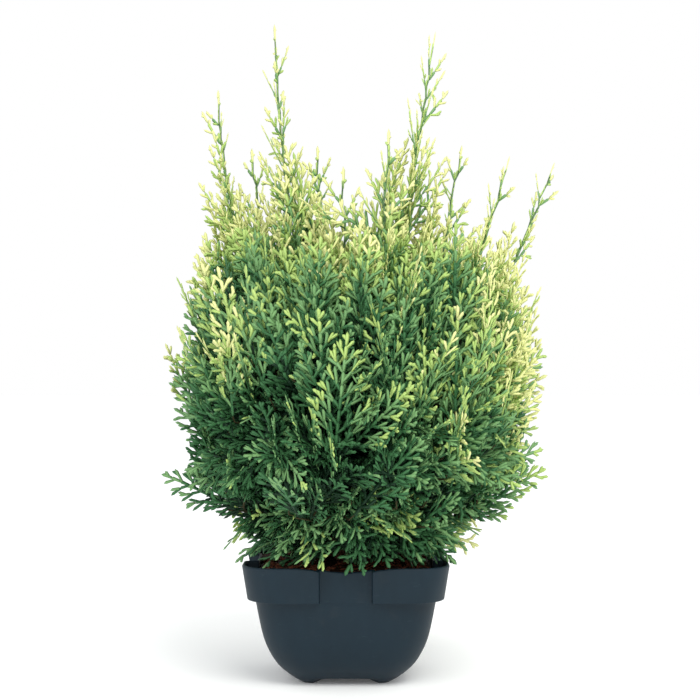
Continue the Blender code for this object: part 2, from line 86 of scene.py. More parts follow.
# Soil: height at the wall, then half width and height of its rings
SOIL_GAP = 0.00045
SOIL_EDGE = 0.0715
SOIL_RINGS = ((0.0530, 0.0726), (0.0125, 0.0750))
SOIL_STEPS = 26
SOIL_NARROWING = 0.97
SOIL_SINK = 0.0004
SOIL_ROUGHNESS = 0.0011
SOIL_CALM = 0.4
SOIL_LUMPS = 210
SOIL_SEED = 5
# Bark chips: the widths and depths are shares of the length
CHIP_COUNT = 620
CHIP_SIZE = (0.0016, 0.0042)
CHIP_WIDTHS = (0.45, 0.8)
CHIP_DEPTHS = (0.2, 0.4)
CHIP_TILT = 0.5
CHIP_RAISE = 0.3
CHIP_BEVEL = 0.22
CHIP_CORNER = 0.019

# Trunk: height above the soil and radius, with a flared foot
TRUNK_SECTIONS = ((0.0, 0.0098), (0.004, 0.0074), (0.012, 0.0062), (0.045, 0.0052), (0.080, 0.0040))
TRUNK_LEAN = Vector((0.045, 0.020, 0.0))
TRUNK_STEPS = 90
FLARE_LOBES = 3
FLARE_DEPTH = 0.16
FLARE_POWER = 4
BARK_RELIEF = 0.0006
BOUGH_RELIEF = 0.00028
RIDGE_SCALE = Vector((620, 620, 42))
STRIP_SCALE = Vector((1500, 1500, 120))
RIDGE_GAIN = 1.5
STRIP_GAIN = 0.4
# How round each kind of limb is, as the curve's bevel resolution
ROUNDNESS = {"trunk": 18, "bough": 3, "twig": 0, "shoot": 2}
WELD = 0.000001

# Leaders in order round the crown: where each ends, and how far it leans out per metre of rise
LEADERS = (
    ((-0.0459, -0.0120, 0.4130), 0.05),
    ((-0.0018, -0.0300, 0.3190), 0.05),
    ((0.0262, -0.0500, 0.3400), 0.10),
    ((0.0560, -0.0180, 0.4075), 0.17),
    ((0.1025, -0.0220, 0.3270), 0.29),
    ((0.1367, 0.0240, 0.3290), 0.42),
    ((0.0779, 0.0460, 0.3430), 0.20),
    ((-0.0193, 0.0460, 0.3425), 0.08),
    ((-0.0645, 0.0560, 0.3420), 0.12),
    ((-0.0851, 0.0220, 0.3765), 0.06),
)
LEADER_FORK_TOP = 0.148
LEADER_FORK_DROP = 0.10
LEADER_FORK_STEP = 0.0055
LEADER_FORK_TIERS = 3
LEADER_SWING = 0.42
LEADER_SWING_RISE = 0.12
LEADER_CLIMB = 0.52
LEADER_MIDDLE = 0.262

# Rings of boughs below the leaders: count, first azimuth, tip radius and height, fork height
SIDE_RING = {"count": 7, "turn": 12.0, "tip": (0.084, 0.212), "fork": 0.108, "lift": 0.55}
SKIRT_RING = {"count": 7, "turn": 38.0, "tip": (0.088, 0.108), "fork": 0.088, "lift": 0.42}
RING_JITTER_DEGREES = 7.0
RING_JITTER_HEIGHT = 0.012
RING_FORK_STEP = 0.006
RING_FORK_TIERS = 2
RING_SWING = 0.33
RING_SWING_LIFT = 0.010
RING_SWING_RISE = 0.10
RING_ARRIVE_OUT = 0.9
RING_ARRIVE_RISE = 0.8
RING_MIDDLE = 0.70

# The crown's outline: height and radius round its own middle
CROWN_MIDDLE = Vector((0.006, 0.0, 0.0))
CROWN_OUTLINE = (
    (0.066, 0.080), (0.100, 0.090), (0.120, 0.128), (0.160, 0.128), (0.190, 0.126),
    (0.235, 0.122), (0.262, 0.112), (0.290, 0.094), (0.308, 0.070), (0.318, 0.020),
)
CROWN_FLOOR = 0.066

# Boughs and stems
BOUGH_RADIUS = 0.0021
BOUGH_FOOT_RADIUS = BOUGH_RADIUS * 1.15
LEAST_BOUGH = 3
STEM_RADIUS = 0.0014
STEM_TIP_RADIUS = 0.0005
ROUTE_STEPS = 60
ENTRY_MARGIN = 0.004
SPACE_MARGIN = 0.0005

# Sprays, as the solids have them
SPRAY_THICKNESS = 0.0013
SPRAY_PITCH = 0.0140
SPINE_HALF_WIDTH = 0.0011
SPINE_TAPER = 0.5
SPRAY_THINNING = 0.4
FIRST_SHOOT = 0.14
SHOOT_STRETCH = 0.76
SHOOT_ANGLE = math.radians(42.0)
SHOOT_SHARE = 0.46
SHOOT_SWELL_START = 0.05
SHOOT_SWELL_LENGTH = 0.25
SHOOT_SWELL_POWER = 0.5
SHOOT_TAPER_POWER = 0.7
SPRAY_UPTURN = 0.6
SPRAY_ROLL = math.radians(32.0)
SPRAY_TRIALS = (1.0, 0.82, 0.66)
PLAN_TRIES = 8
LENGTH_RANGE = (0.9, 1.1)
LIFT_RANGE = (0.4, 1.2)
SPACING_RANGE = (0.85, 1.15)
GROWTH_SEED = 23
SPRAY_RULES = {
    "leader": {"long": 0.074, "angle": (38, 74), "fan": (0, 95), "lift": 0.12},
    "side": {"long": 0.082, "angle": (30, 66), "fan": (5, 125), "lift": 0.12},
    "skirt": {"long": 0.082, "angle": (26, 60), "fan": (0, 125), "lift": -0.14},
}
SPRAY_SPACING = 0.008
FIRST_SPRAY = 0.004
LAST_SPRAY = 0.004
ENDING_ROOT = 0.002
ENDING_SHARE = 0.75
SHOOT_TIP_SPRAY = 0.010
SHOOT_GROWTH = 0.17
SHOOT_SPACING = 0.017
FREE_FAN = (30, 125)
FREE_ANGLE = (34, 50)
FREE_SPLAY = (24, 42)
FREE_DEPTH = 0.010

# Finer twigs, carried on from the same limbs to where no spray's tip is near
FINE_SEED = 400
TIP_TRIES = 30000
TIP_SPACING = 0.0145
SEAM_MARGIN = -0.034
LOW_TRIES = 7000
LOW_TOP = 0.112
LOW_REACH = 0.45
LOW_ROLL = 0.30
# Where the fine twigs end: height and radius, and how far their middle lies from the crown's
FINE_OUTLINE = (
    (0.066, 0.076), (0.089, 0.077), (0.098, 0.087), (0.110, 0.090), (0.118, 0.098),
    (0.126, 0.124), (0.200, 0.128), (0.235, 0.127), (0.262, 0.121), (0.285, 0.112),
    (0.300, 0.101), (0.312, 0.082), (0.324, 0.030),
)
FINE_SHIFT = Vector((0.0025, 0.0, 0.0))
# The outline is ragged: it is drawn in by up to this share, in lumps of this size
RAGGED_DEPTH = 0.13
RAGGED_LUMP = 0.027
RAGGED_LEVEL = 0.35
# Larger fronds that hang over the pot's rim: height, distance from the middle and length
RIM_FRONDS = 26
RIM_TRIES = 40
RIM_JITTER = 0.35
RIM_HEIGHTS = (0.067, 0.084)
RIM_REACH = (0.070, 0.082)
RIM_LENGTHS = (0.052, 0.072)
RIM_RISE = -0.12
RIM_BEND = -0.46
RIM_BENDS = (0.85, 1.1)
RIM_STRAY = 0.26
# The rim fronds' painted light is raised by this much, so their leaves are a little lighter
RIM_LIGHT = 0.1
# A share of the upper fronds turns its edge outwards
EDGE_SHARE = 0.30
EDGE_FOOT = 0.130
EDGE_TURN = (math.radians(50.0), math.radians(85.0))
INNER_TRIES = 3000
INNER_SPACING = 0.021
INNER_REACH = (0.10, 0.50)
INNER_HEIGHTS = (0.100, 0.265)
SHELL_DEPTH = 0.50
SHELL_POWER = 1.6
DOME_FOOT = 0.245
DOME_TOP = 0.290
TIP_LENGTHS = (0.048, 0.082)
TIP_STRAY = 0.66
# How much the sprays of the fine twigs rise as they leave, and how much they bend up, by height
TIP_RISE = (
    (0.066, -0.05), (0.100, 0.05), (0.130, 0.35), (0.170, 0.80),
    (0.210, 1.4), (0.250, 2.2), (0.300, 3.6),
)
TIP_BEND = ((0.066, -0.45), (0.100, -0.36), (0.140, -0.24), (0.180, -0.08), (0.230, 0.10))
TWIG_STEPS = 8
TWIG_LEAVE = 0.33
TWIG_ARRIVE = 0.28
TWIG_TURN_COST = 0.9
TWIG_RADIUS = 0.0008
TWIG_TIP_RADIUS = 0.0005
# Sprays round each leader where it leaves the crown
COLLAR_TRIES = 3600
COLLAR_SPACING = 0.0130
COLLAR_FOOT = 0.250
COLLAR_TOP = 0.362
COLLAR_BELOW_TIP = 0.020
COLLAR_RADIUS = 0.034
COLLAR_WIDTH = 1.15
COLLAR_LENGTHS = (0.034, 0.062)
COLLAR_LIMIT = 0.110
# Short sprays on a leader above the crown
FREE_SPACING = 0.0075
FREE_TRIES = 8
FREE_TOP = 0.014
FREE_FOOT = 0.272
FREE_ROOM = 0.0045
FREE_GAIN = 1.45
FREE_NARROW = 0.90
FREE_SPINE = 0.0011
FREE_SLIM = 0.85
GREEN_FOOT = 0.245
ZIGZAG = 0.0011

# Runs of scale leaves: length along the shoot, then the run's shape, then half width by place
SCALE_PITCH = 0.0070
COARSE_PITCH = 0.0100
SCALE_OVERLAP = 0.64
SCALE_THICKNESS = 0.50
SCALE_WIDEST = 0.60
SCALE_WAIST = -0.55
SCALE_WAIST_WIDTH = 0.80
SCALE_SPREAD = 1.15
SPINE_SCALE = 0.00130
SIDE_SCALE = 0.00112
SHORT_SCALE = 0.00108
FREE_STEM_WIDTHS = (0.00155, 0.00095)
FREE_STEM_TONES = (1.5, 2.6)
FREE_STEM_STEP = 0.004
FREE_STEM_OVERLAP = 1.4

# Side shoots stand by turns left and right along a spine, and short shoots along those
SIDE_START = 0.10
SIDE_END = 0.95
SIDE_SPACING = 0.0050
SIDE_LENGTHS = (0.80, 1.04)
SIDE_ANGLES = (0.80, 1.02)
SHORT_SPACING = 0.0046
SHORT_START = SHORT_SPACING * 1.1
SHORT_END = 0.0020
SHORT_LENGTH = 0.0095
SHORT_LENGTHS = (0.8, 1.1)
# A short shoot's length: a share of the longest, and of what is left of its side shoot
SHORT_SHARE = 0.38
SHORT_LEFT = 0.5
SHORT_BOW = 0.5
SHORT_ANGLE = math.radians(23.0)
# Sprays low down have longer short shoots
LOW_SHORT_GAIN = 1.55
OUT_OF_PLANE = 0.16
FORWARD_BOW = 0.14
BOW_BACK = 0.9
# Sprays whose tips lie this far out or this high have their short shoots
SEEN_REACH = 0.62
SEEN_HEIGHT = 0.25


# Finishes

def srgb(red, green, blue):
    """Screen colour, 0 to 255, as the linear colour that a shader takes."""
    channels = [channel / 255 for channel in (red, green, blue)]
    linear = [c / 12.92 if c <= 0.04045 else ((c + 0.055) / 1.055) ** 2.4 for c in channels]
    return (*linear, 1.0)


class Wire:
    """A number socket that can stand in a Python sum."""

    def __init__(self, finish, socket):
        self.finish = finish
        self.socket = socket

    def maths(self, operation, *values):
        return self.finish.node("ShaderNodeMath", {"operation": operation}, dict(enumerate(values)))

    def __add__(self, other):
        return self.maths("ADD", self, other)

    __radd__ = __add__

    def __mul__(self, other):
        return self.maths("MULTIPLY", self, other)

    def __rsub__(self, other):
        return self.maths("SUBTRACT", other, self)


class Finish:
    """A material, and the one method that adds a node to it."""

    def __init__(self, name, constants):
        self.material = bpy.data.materials.new(name)
        self.material.use_nodes = True
        self.tree = self.material.node_tree
        self.shader = self.tree.nodes["Principled BSDF"]
        for socket, value in constants.items():
            self.shader.inputs[socket].default_value = value

    def node(self, kind, settings, inputs, output=0):
        made = self.tree.nodes.new(kind)
        for name, value in settings.items():
            setattr(made, name, value)
        for name, value in inputs.items():
            self.feed(made.inputs[name], value)
        return Wire(self, made.outputs[output])

    def feed(self, socket, value):
        if isinstance(value, Wire):
            self.tree.links.new(value.socket, socket)
        else:
            socket.default_value = value

    def place(self, stretch=(1.0, 1.0, 1.0)):
        """Object coordinates, stretched along the axes."""
        own = self.node("ShaderNodeTexCoord", {}, {}, "Object")
        return self.node("ShaderNodeMapping", {}, {"Vector": own, "Scale": stretch})

    def cloud(self, where, scale, detail=3.0, roughness=0.55):
        inputs = {"Vector": where, "Scale": scale, "Detail": detail, "Roughness": roughness}
        return self.node("ShaderNodeTexNoise", {}, inputs, "Fac")

    def blend(self, share, low, high):
        return self.node("ShaderNodeMix", {"data_type": "RGBA"}, {0: share, 6: low, 7: high}, 2)

    def window(self, value, low, high):
        """0 below low and 1 above high."""
        inputs = {"Value": value, "From Min": low, "From Max": high}
        return self.node("ShaderNodeMapRange", {"clamp": True}, inputs)

    def coat(self, colour, roughness):
        self.feed(self.shader.inputs["Base Color"], colour)
        self.feed(self.shader.inputs["Roughness"], roughness)

    def bump(self, height, depth, strength):
        inputs = {"Height": height, "Distance": depth, "Strength": strength}
        self.feed(self.shader.inputs["Normal"], self.node("ShaderNodeBump", {}, inputs))


def pot_plastic():
    finish = Finish("pot_plastic", {"Specular IOR Level": 0.22})
    where = finish.place()
    patches = finish.cloud(where, 28.0, 4.0)
    streaks = finish.cloud(finish.place((1.0, 1.0, 0.12)), 170.0, 3.0)
    grain = finish.cloud(where, 1500.0, 2.0)
    scuffs = finish.cloud(finish.place((0.25, 1.0, 1.0)), 420.0, 5.0, 0.7)
    scuffs = finish.window(scuffs, 0.62, 0.72)
    dust = finish.window(finish.cloud(where, 75.0, 6.0, 0.65), 0.56, 0.78)
    body = finish.blend(patches, srgb(10, 27, 37), srgb(16, 35, 46))
    body = finish.blend(streaks * 0.30, body, srgb(28, 50, 62))
    body = finish.blend(scuffs * 0.12, body, srgb(74, 88, 98))
    body = finish.blend(dust * 0.06, body, srgb(96, 92, 84))
    finish.coat(body, 0.44 + patches * 0.14 + scuffs * 0.10 + dust * 0.14)
    finish.bump(grain * 0.6 + streaks * 0.25 + scuffs * 0.3, 0.00012, 0.55)
    return finish.material


def peat():
    finish = Finish("peat", {"Specular IOR Level": 0.2})
    where = finish.place()
    crumbs = finish.cloud(where, 420.0, 6.0, 0.7)
    wet = finish.cloud(where, 60.0, 3.0)
    colour = finish.blend(crumbs, srgb(30, 19, 13), srgb(92, 56, 36))
    colour = finish.blend(wet * 0.5, colour, srgb(26, 15, 10))
    finish.coat(colour, 0.95 - wet * 0.25)
    finish.bump(crumbs, 0.0009, 0.9)
    return finish.material


def bark_chips():
    finish = Finish("bark_chips", {"Specular IOR Level": 0.25})
    layers = finish.cloud(finish.place((1.0, 1.0, 3.0)), 700.0, 4.0, 0.6)
    pieces = finish.cloud(finish.place(), 130.0, 2.0)
    colour = finish.blend(pieces, srgb(70, 34, 22), srgb(150, 84, 54))
    colour = finish.blend(layers * 0.5, colour, srgb(48, 24, 16))
    finish.coat(colour, 0.78 + layers * 0.18)
    finish.bump(layers, 0.0004, 0.8)
    return finish.material


def fibrous_bark():
    finish = Finish("fibrous_bark", {"Specular IOR Level": 0.3})
    fibres = finish.cloud(finish.place((1.0, 1.0, 0.10)), 1100.0, 5.0, 0.65)
    plates = finish.cloud(finish.place((1.0, 1.0, 0.35)), 260.0, 4.0)
    colour = finish.blend(plates, srgb(84, 52, 34), srgb(142, 98, 66))
    colour = finish.blend(finish.window(fibres, 0.35, 0.6) * 0.7, srgb(52, 32, 22), colour)
    finish.coat(colour, 0.80 + fibres * 0.15)
    finish.bump(fibres * 0.7 + plates * 0.5, 0.0005, 0.9)
    return finish.material


def brown_twig():
    finish = Finish("brown_twig", {"Specular IOR Level": 0.25})
    flecks = finish.cloud(finish.place((1.0, 1.0, 0.4)), 420.0, 3.0)
    colour = finish.blend(flecks, srgb(42, 36, 22), srgb(74, 70, 40))
    finish.coat(colour, 0.74 + flecks * 0.16)
    finish.bump(flecks, 0.0002, 0.6)
    return finish.material


def green_stem():
    finish = Finish("green_stem", {"Specular IOR Level": 0.35})
    flecks = finish.cloud(finish.place((1.0, 1.0, 0.5)), 500.0, 3.0)
    colour = finish.blend(finish.window(flecks, 0.38, 0.60), srgb(66, 92, 62), srgb(112, 146, 96))
    finish.coat(colour, 0.62 + flecks * 0.2)
    finish.bump(flecks, 0.0002, 0.6)
    return finish.material


# Tones of the scale leaves: the darker and the lighter colour of each
TONES = {
    "deep": (srgb(10, 38, 22), srgb(24, 62, 36)),
    "green": (srgb(46, 93, 58), srgb(70, 122, 74)),
    "sage": (srgb(98, 144, 94), srgb(128, 170, 108)),
    "lime": (srgb(158, 190, 106), srgb(188, 212, 124)),
    "cream": (srgb(216, 224, 146), srgb(238, 238, 172)),
}
TONE_NAMES = tuple(TONES)
# Where a spray stands on the scale of tones, from 0, deep, to 4, cream: at its root and at its
# tips, as a start and a gain with its painted light, which raises the tips most
ROOT_TONE = (-0.72, 0.48)
TIP_TONE = (0.88, 1.14)
MOST_LIGHT = 4.0
# A spray's painted light is read at this share of its length
LIGHT_PLACE = 0.7
# Painted light by height, lighter high up and darker low down, in patches, by chance, and to the
# right, painted as the lit side
HEIGHT_PAINTED_LIGHT = ((0.066, 0.34), (0.130, 0.56), (0.190, 0.60), (0.245, 1.20), (0.300, 2.00))
PATCH_SCALE = 24.0
PATCH_LIGHT = 1.8
CHANCE_LIGHT = 0.8
RIGHT_PAINTED_LIGHT_GAIN = 0.7
RIGHT_PAINTED_LIGHT_COURSE = Vector((8.0, 7.0, 0.0))
# Painted shade: the crown's inside is painted darker and its outer shell lighter, by how far out a
# place lies; high up, every place counts as far out
SHELL_SHARE = ((0.66, 0.0), (0.92, 1.0))
HEIGHT_REACH = ((0.075, -0.25), (0.300, 1.0))
LEAST_RADIUS = 0.02
SHELL_GAIN = 2.0
SHELL_LIGHT = 0.8
FREE_TONES = (1.5, 4.0)
TONE_POWER = 1.6
SPINE_SHARE = 0.30
SHORT_GAIN = 0.35


def scale_leaves(tone):
    finish = Finish(f"scale_leaves_{tone}", {"Specular IOR Level": 0.28})
    bloom = finish.cloud(finish.place(), 330.0, 3.0)
    finish.coat(finish.blend(bloom, *TONES[tone]), 0.50 + bloom * 0.18)
    return finish.material


# Meshes

def choose_only(*pieces):
    for item in bpy.context.selected_objects:
        item.select_set(False)
    for piece in pieces:
        piece.select_set(True)
    bpy.context.view_layer.objects.active = pieces[0] if pieces else None


def dress(piece, name, material, nodes):
    piece.name = name
    piece.data.name = name
    piece.data.materials.clear()
    piece.data.materials.append(material)
    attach(piece, "root")
    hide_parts(*nodes)


def mesh_piece(points, faces, smooth):
    """A piece from rows of points and rows of corner numbers, as many in each face."""
    mesh = bpy.data.meshes.new("piece")
    count, corners = faces.shape
    mesh.vertices.add(len(points))
    mesh.vertices.foreach_set("co", points.astype(np.float32).ravel())
    mesh.loops.add(count * corners)
    mesh.loops.foreach_set("vertex_index", faces.astype(np.int32).ravel())
    mesh.polygons.add(count)
    mesh.polygons.foreach_set("loop_start", np.arange(0, count * corners, corners, dtype=np.int32))
    mesh.polygons.foreach_set("use_smooth", np.full(count, smooth))
    mesh.update(calc_edges=True)
    mesh.validate()
    piece = bpy.data.objects.new("piece", mesh)
    bpy.context.scene.collection.objects.link(piece)
    return piece


def mix(low, high, share):
    return low + (high - low) * share


def bump_shape(share):
    """A smooth rise from 0 at the ends, plus and minus 1, to 1 in the middle."""
    return math.cos(math.pi / 2 * share) ** 2 if abs(share) < 1 else 0.0


def arched(share):
    """A flat-topped rise, from 0 at the ends, plus and minus 1."""
    return 1 - share ** ARCH_POWER


def extruded(rings):
    """A filled circle, extruded from ring to ring; each new ring is laid on its own points."""
    bpy.ops.mesh.primitive_circle_add(vertices=len(rings[0]), fill_type="NGON")
    piece = bpy.context.object
    bpy.ops.object.mode_set(mode="EDIT")
    shape = bmesh.from_edit_mesh(piece.data)
    chosen = sorted((vert for vert in shape.verts if vert.select), key=lambda vert: vert.index)
    for vert, point in zip(chosen, rings[0]):
        vert.co = point
    for before, ring in zip(rings, rings[1:]):
        bpy.ops.mesh.extrude_region_move()
        shape = bmesh.from_edit_mesh(piece.data)
        by_place = {tuple(round(value, 6) for value in point): k for k, point in enumerate(before)}
        for vert in [vert for vert in shape.verts if vert.select]:
            vert.co = ring[by_place[tuple(round(value, 6) for value in vert.co)]]
    bmesh.update_edit_mesh(piece.data)
    bpy.ops.mesh.select_all(action="SELECT")
    bpy.ops.mesh.normals_make_consistent(inside=False)
    bpy.ops.object.mode_set(mode="OBJECT")
    return piece


# Pot and soil

def side_steps(straight, panel):
    spread = (straight - panel - PANEL_EDGE) / 3
    right = (panel / 2, panel, panel + PANEL_EDGE)
    right += tuple(panel + PANEL_EDGE + spread * k for k in (1, 2, 3))
    return [-step for step in reversed(right)] + [0.0] + list(right)


def pot_ring(section, inset=0.0, dip=0.0, arch=0.0, sunk=False):
    """One square ring with round corners, inset for the inner wall or the soil."""
    height, half, corner = section
    recess = half - PANEL_PLANE if sunk else 0.0
    half -= inset
    corner = max(corner - inset, LEAST_CORNER)
    straight = half - corner
    panel = min(PANEL_HALF_WIDTH + inset, PANEL_SHARE * straight)
    ring = []
    for side in range(4):
        turn = Matrix.Rotation(side * math.pi / 2, 3, "Z")
        for step in side_steps(straight, panel):
            depth = half - (recess if abs(step) <= panel else 0.0)
            level = height - dip * bump_shape(step / DIP_REACH) + arch * arched(step / straight)
            ring.append(turn @ Vector((step, -depth, level)))
        for index in range(1, CORNER_STEPS):
            angle = math.pi / 2 * (index / CORNER_STEPS - 1)
            across = straight + corner * math.cos(angle)
            depth = -straight + corner * math.sin(angle)
            ring.append(turn @ Vector((across, depth, height)))
    return ring


def curve_value(before, low, high, after, t):
    """A value between low and high, on a curve that runs on smoothly past both."""
    bend = before - 2.5 * low + 2 * high - after / 2
    twist = 1.5 * (low - high) + (after - before) / 2
    return low + t * ((high - before) / 2 + t * (bend + t * twist))


def smooth_body():
    """The body's sections with more between them, on a curve through their points."""
    sections = []
    last = len(POT_BODY) - 1
    for index in range(1, last):
        near = [POT_BODY[max(0, min(last, index + k))] for k in (-1, 0, 1, 2)]
        for step in range(BODY_PIECES):
            t = step / BODY_PIECES
            sections.append(tuple(curve_value(*values, t) for values in zip(*near)))
    return sections + [POT_BODY[last]]


def raised(section, inset):
    height, half, corner = section
    return height + inset, half, corner


def inner_rings(inset, sections):
    rings = [pot_ring(raised(section, inset), inset) for section in sections]
    rings.append(pot_ring(raised(BAND_FOOT, inset), inset, sunk=True))
    return rings


def make_pot():
    body = smooth_body()
    rings = [pot_ring(UNDERSIDE_PAD), pot_ring(UNDERSIDE_HOLLOW)]
    rings += [pot_ring(section, arch=ARCH_HEIGHT) for section in (FOOT_INSIDE, POT_BODY[0])]
    rings.append(pot_ring(POT_BODY[1], arch=ARCH_HEIGHT / 2))
    rings += [pot_ring(section) for section in body[1:]]
    rings.append(pot_ring(BAND_FOOT, sunk=True))
    rings.append(pot_ring(BAND_HEAD, dip=DIP_DEPTH, sunk=True))
    lip = (
        (POT_HEIGHT - RIM_ROUND, RIM_OUTER + RIM_ROUND),
        (POT_HEIGHT, RIM_OUTER - RIM_ROUND),
        (POT_HEIGHT, RIM_INNER + RIM_ROUND),
        (POT_HEIGHT - RIM_ROUND, RIM_INNER),
    )
    for height, half in lip:
        inset = BAND_HEAD[1] - half
        rings.append(pot_ring((height, *BAND_HEAD[1:]), inset, dip=DIP_DEPTH, sunk=True))
    rings += reversed(inner_rings(POT_WALL, body))
    pot = extruded(rings)
    choose_only(pot)
    edges = pot.modifiers.new("soft_edges", "BEVEL")
    edges.width = BEVEL_WIDTH
    edges.segments = BEVEL_STEPS
    edges.limit_method = "ANGLE"
    edges.angle_limit = BEVEL_ANGLE
    bpy.ops.object.modifier_apply(modifier=edges.name)
    bpy.ops.object.shade_smooth_by_angle(angle=POT_SMOOTH)
    dress(pot, "pot_moulding", pot_plastic(), ["pot"])


def soil_level(x, y):
    """Height of the soil over a place, by how far out it lies as a share of the wall's distance."""
    reach = max(abs(x), abs(y))
    wide, narrow = SOIL_RINGS
    rough = SOIL_ROUGHNESS * noise.fractal(Vector((x, y, 0.3)) * SOIL_LUMPS, 0.7, 2.1, 4)
    if reach <= narrow[0]:
        return narrow[1] - SOIL_SINK + SOIL_CALM * rough
    share = min(1.0, (reach - narrow[0]) / (wide[0] - narrow[0]))
    return mix(narrow[1], wide[1], share) - SOIL_SINK + rough


def make_soil():
    inset = POT_WALL + SOIL_GAP
    share = (SOIL_EDGE - BAND_FOOT[0] - POT_WALL) / (POT_HEIGHT - BAND_FOOT[0] - POT_WALL)
    half = mix(BAND_FOOT[1] - POT_WALL, RIM_INNER, share) - SOIL_GAP
    rings = inner_rings(inset, (POT_BODY[1], POT_BODY[2], POT_BODY[-1]))
    rings.append(pot_ring((SOIL_EDGE, half + inset, BAND_HEAD[2]), inset, sunk=True))
    plan = pot_ring((0.0, SOIL_RINGS[0][0] + inset, BAND_HEAD[2]), inset)
    for step in range(SOIL_STEPS):
        scale = 1.0 - SOIL_NARROWING * step / (SOIL_STEPS - 1)
        places = [(point.x * scale, point.y * scale) for point in plan]
        rings.append([Vector((*place, soil_level(*place))) for place in places])
    soil = extruded(rings)
    choose_only(soil)
    bpy.ops.object.shade_smooth_by_angle(angle=SOFT_SMOOTH)
    dress(soil, "potting_soil", peat(), ["soil"])


def chip_pattern():
    """One flake of bark: a flattened cube with bevelled corners, as points and triangles."""
    bpy.ops.mesh.primitive_cube_add(size=1.0)
    flake = bpy.context.object
    bpy.ops.object.mode_set(mode="EDIT")
    bpy.ops.mesh.bevel(offset=CHIP_BEVEL, segments=1, affect="EDGES")
    bpy.ops.mesh.quads_convert_to_tris()
    bpy.ops.object.mode_set(mode="OBJECT")
    return pattern_of(flake)


def pattern_of(piece):
    """A small piece as numbers, to be dealt out many times; the piece itself is removed."""
    points = np.array([vertex.co for vertex in piece.data.vertices])
    faces = np.array([face.vertices for face in piece.data.polygons])
    bpy.data.objects.remove(piece, do_unlink=True)
    return points, faces


def deal_out(pattern, centres, frames, smooth):
    """Copies of a pattern, each on its own centre and three axes, joined into one piece."""
    points, faces = pattern
    placed = np.einsum("vk,nkc->nvc", points, frames) + centres[:, None, :]
    shift = np.arange(len(centres))[:, None, None] * len(points)
    faces = (faces[None] + shift).reshape(-1, faces.shape[1])
    return mesh_piece(placed.reshape(-1, 3), faces, smooth)


def make_chips():
    chance = random.Random(SOIL_SEED)
    centres, frames = [], []
    wide = SOIL_RINGS[0][0]
    while len(centres) < CHIP_COUNT:
        x, y = chance.uniform(-wide, wide), chance.uniform(-wide, wide)
        if math.hypot(x, y) < TRUNK_SECTIONS[0][1] + CHIP_SIZE[1]:
            continue
        past = [max(0.0, abs(place) - wide + CHIP_CORNER) for place in (x, y)]
        if math.hypot(*past) > CHIP_CORNER:
            continue
        size = chance.uniform(*CHIP_SIZE)
        turn = Matrix.Rotation(chance.uniform(0, math.tau), 3, "Z")
        for axis in "XY":
            turn = turn @ Matrix.Rotation(chance.uniform(-CHIP_TILT, CHIP_TILT), 3, axis)
        width, depth = (size * chance.uniform(*span) for span in (CHIP_WIDTHS, CHIP_DEPTHS))
        sides = zip(turn.col, (size, width, depth))
        frames.append([[value * side for value in axis] for axis, side in sides])
        centres.append((x, y, soil_level(x, y) + depth * CHIP_RAISE))
    chips = deal_out(chip_pattern(), np.array(centres), np.array(frames), False)
    dress(chips, "bark_chips", bark_chips(), ["soil"])


# Courses of the trunk, boughs and stems, by the same rule as the solids

def trunk_foot():
    return SOIL_RINGS[-1][1] + GAP


def trunk_axis(height):
    above = height - trunk_foot()
    return Vector((TRUNK_LEAN.x * above, TRUNK_LEAN.y * above, height))


def read_profile(profile, place):
    """A value between rows of place and value."""
    for low, high in zip(profile, profile[1:]):
        if place <= high[0]:
            return mix(low[1], high[1], max(0.0, (place - low[0]) / (high[0] - low[0])))
    return profile[-1][1]


def trunk_radius(height):
    return read_profile(TRUNK_SECTIONS, height - trunk_foot())


def bezier(start, leave, arrive, end, share):
    rest = 1 - share
    return (start * rest ** 3 + leave * 3 * rest * rest * share
            + arrive * 3 * rest * share * share + end * share ** 3)


def draw_route(start, leave, arrive, end, steps=ROUTE_STEPS):
    return [bezier(start, leave, arrive, end, k / steps) for k in range(steps + 1)]


def towards(azimuth):
    """The level course at an angle from +X."""
    return Vector((math.cos(azimuth), math.sin(azimuth), 0.0))


def leader_routes():
    routes = []
    for index, (tip, lean) in enumerate(LEADERS):
        tip = Vector(tip)
        out = Vector((tip.x, tip.y, 0.0))
        drop = LEADER_FORK_DROP * out.length + LEADER_FORK_STEP * (index % LEADER_FORK_TIERS)
        fork = trunk_axis(LEADER_FORK_TOP - drop)
        rise = tip.z - fork.z
        leave = fork + out * LEADER_SWING + UP * rise * LEADER_SWING_RISE
        arrive = tip - (out.normalized() * lean + UP) * rise * LEADER_CLIMB
        routes.append(draw_route(fork, leave, arrive, tip))
    return routes


def ring_routes(ring, chance):
    radius, height = ring["tip"]
    routes = []
    for index in range(ring["count"]):
        jitter = chance.uniform(-RING_JITTER_DEGREES, RING_JITTER_DEGREES)
        out = towards(math.radians(ring["turn"] + 360.0 * index / ring["count"] + jitter))
        level = height + chance.uniform(-RING_JITTER_HEIGHT, RING_JITTER_HEIGHT)
        tip = CROWN_MIDDLE + out * radius + UP * level
        fork = trunk_axis(ring["fork"] + RING_FORK_STEP * (index % RING_FORK_TIERS))
        rise = tip.z - fork.z
        leave = fork + out * radius * RING_SWING + UP * (RING_SWING_LIFT + rise * RING_SWING_RISE)
        arrive = tip - out * radius * (1 - ring["lift"]) * RING_ARRIVE_OUT
        arrive = arrive - UP * rise * ring["lift"] * RING_ARRIVE_RISE
        routes.append(draw_route(fork, leave, arrive, tip))
    return routes


def mass_middle(kind, route):
    if kind == "leader":
        return next(point for point in route if point.z >= LEADER_MIDDLE)
    return route[round(ROUTE_STEPS * RING_MIDDLE)]


def trim_front(points, length):
    points = list(points)
    while (points[1] - points[0]).length <= length:
        length -= (points[1] - points[0]).length
        points.pop(0)
    points[0] = points[0] + (points[1] - points[0]).normalized() * length
    return points


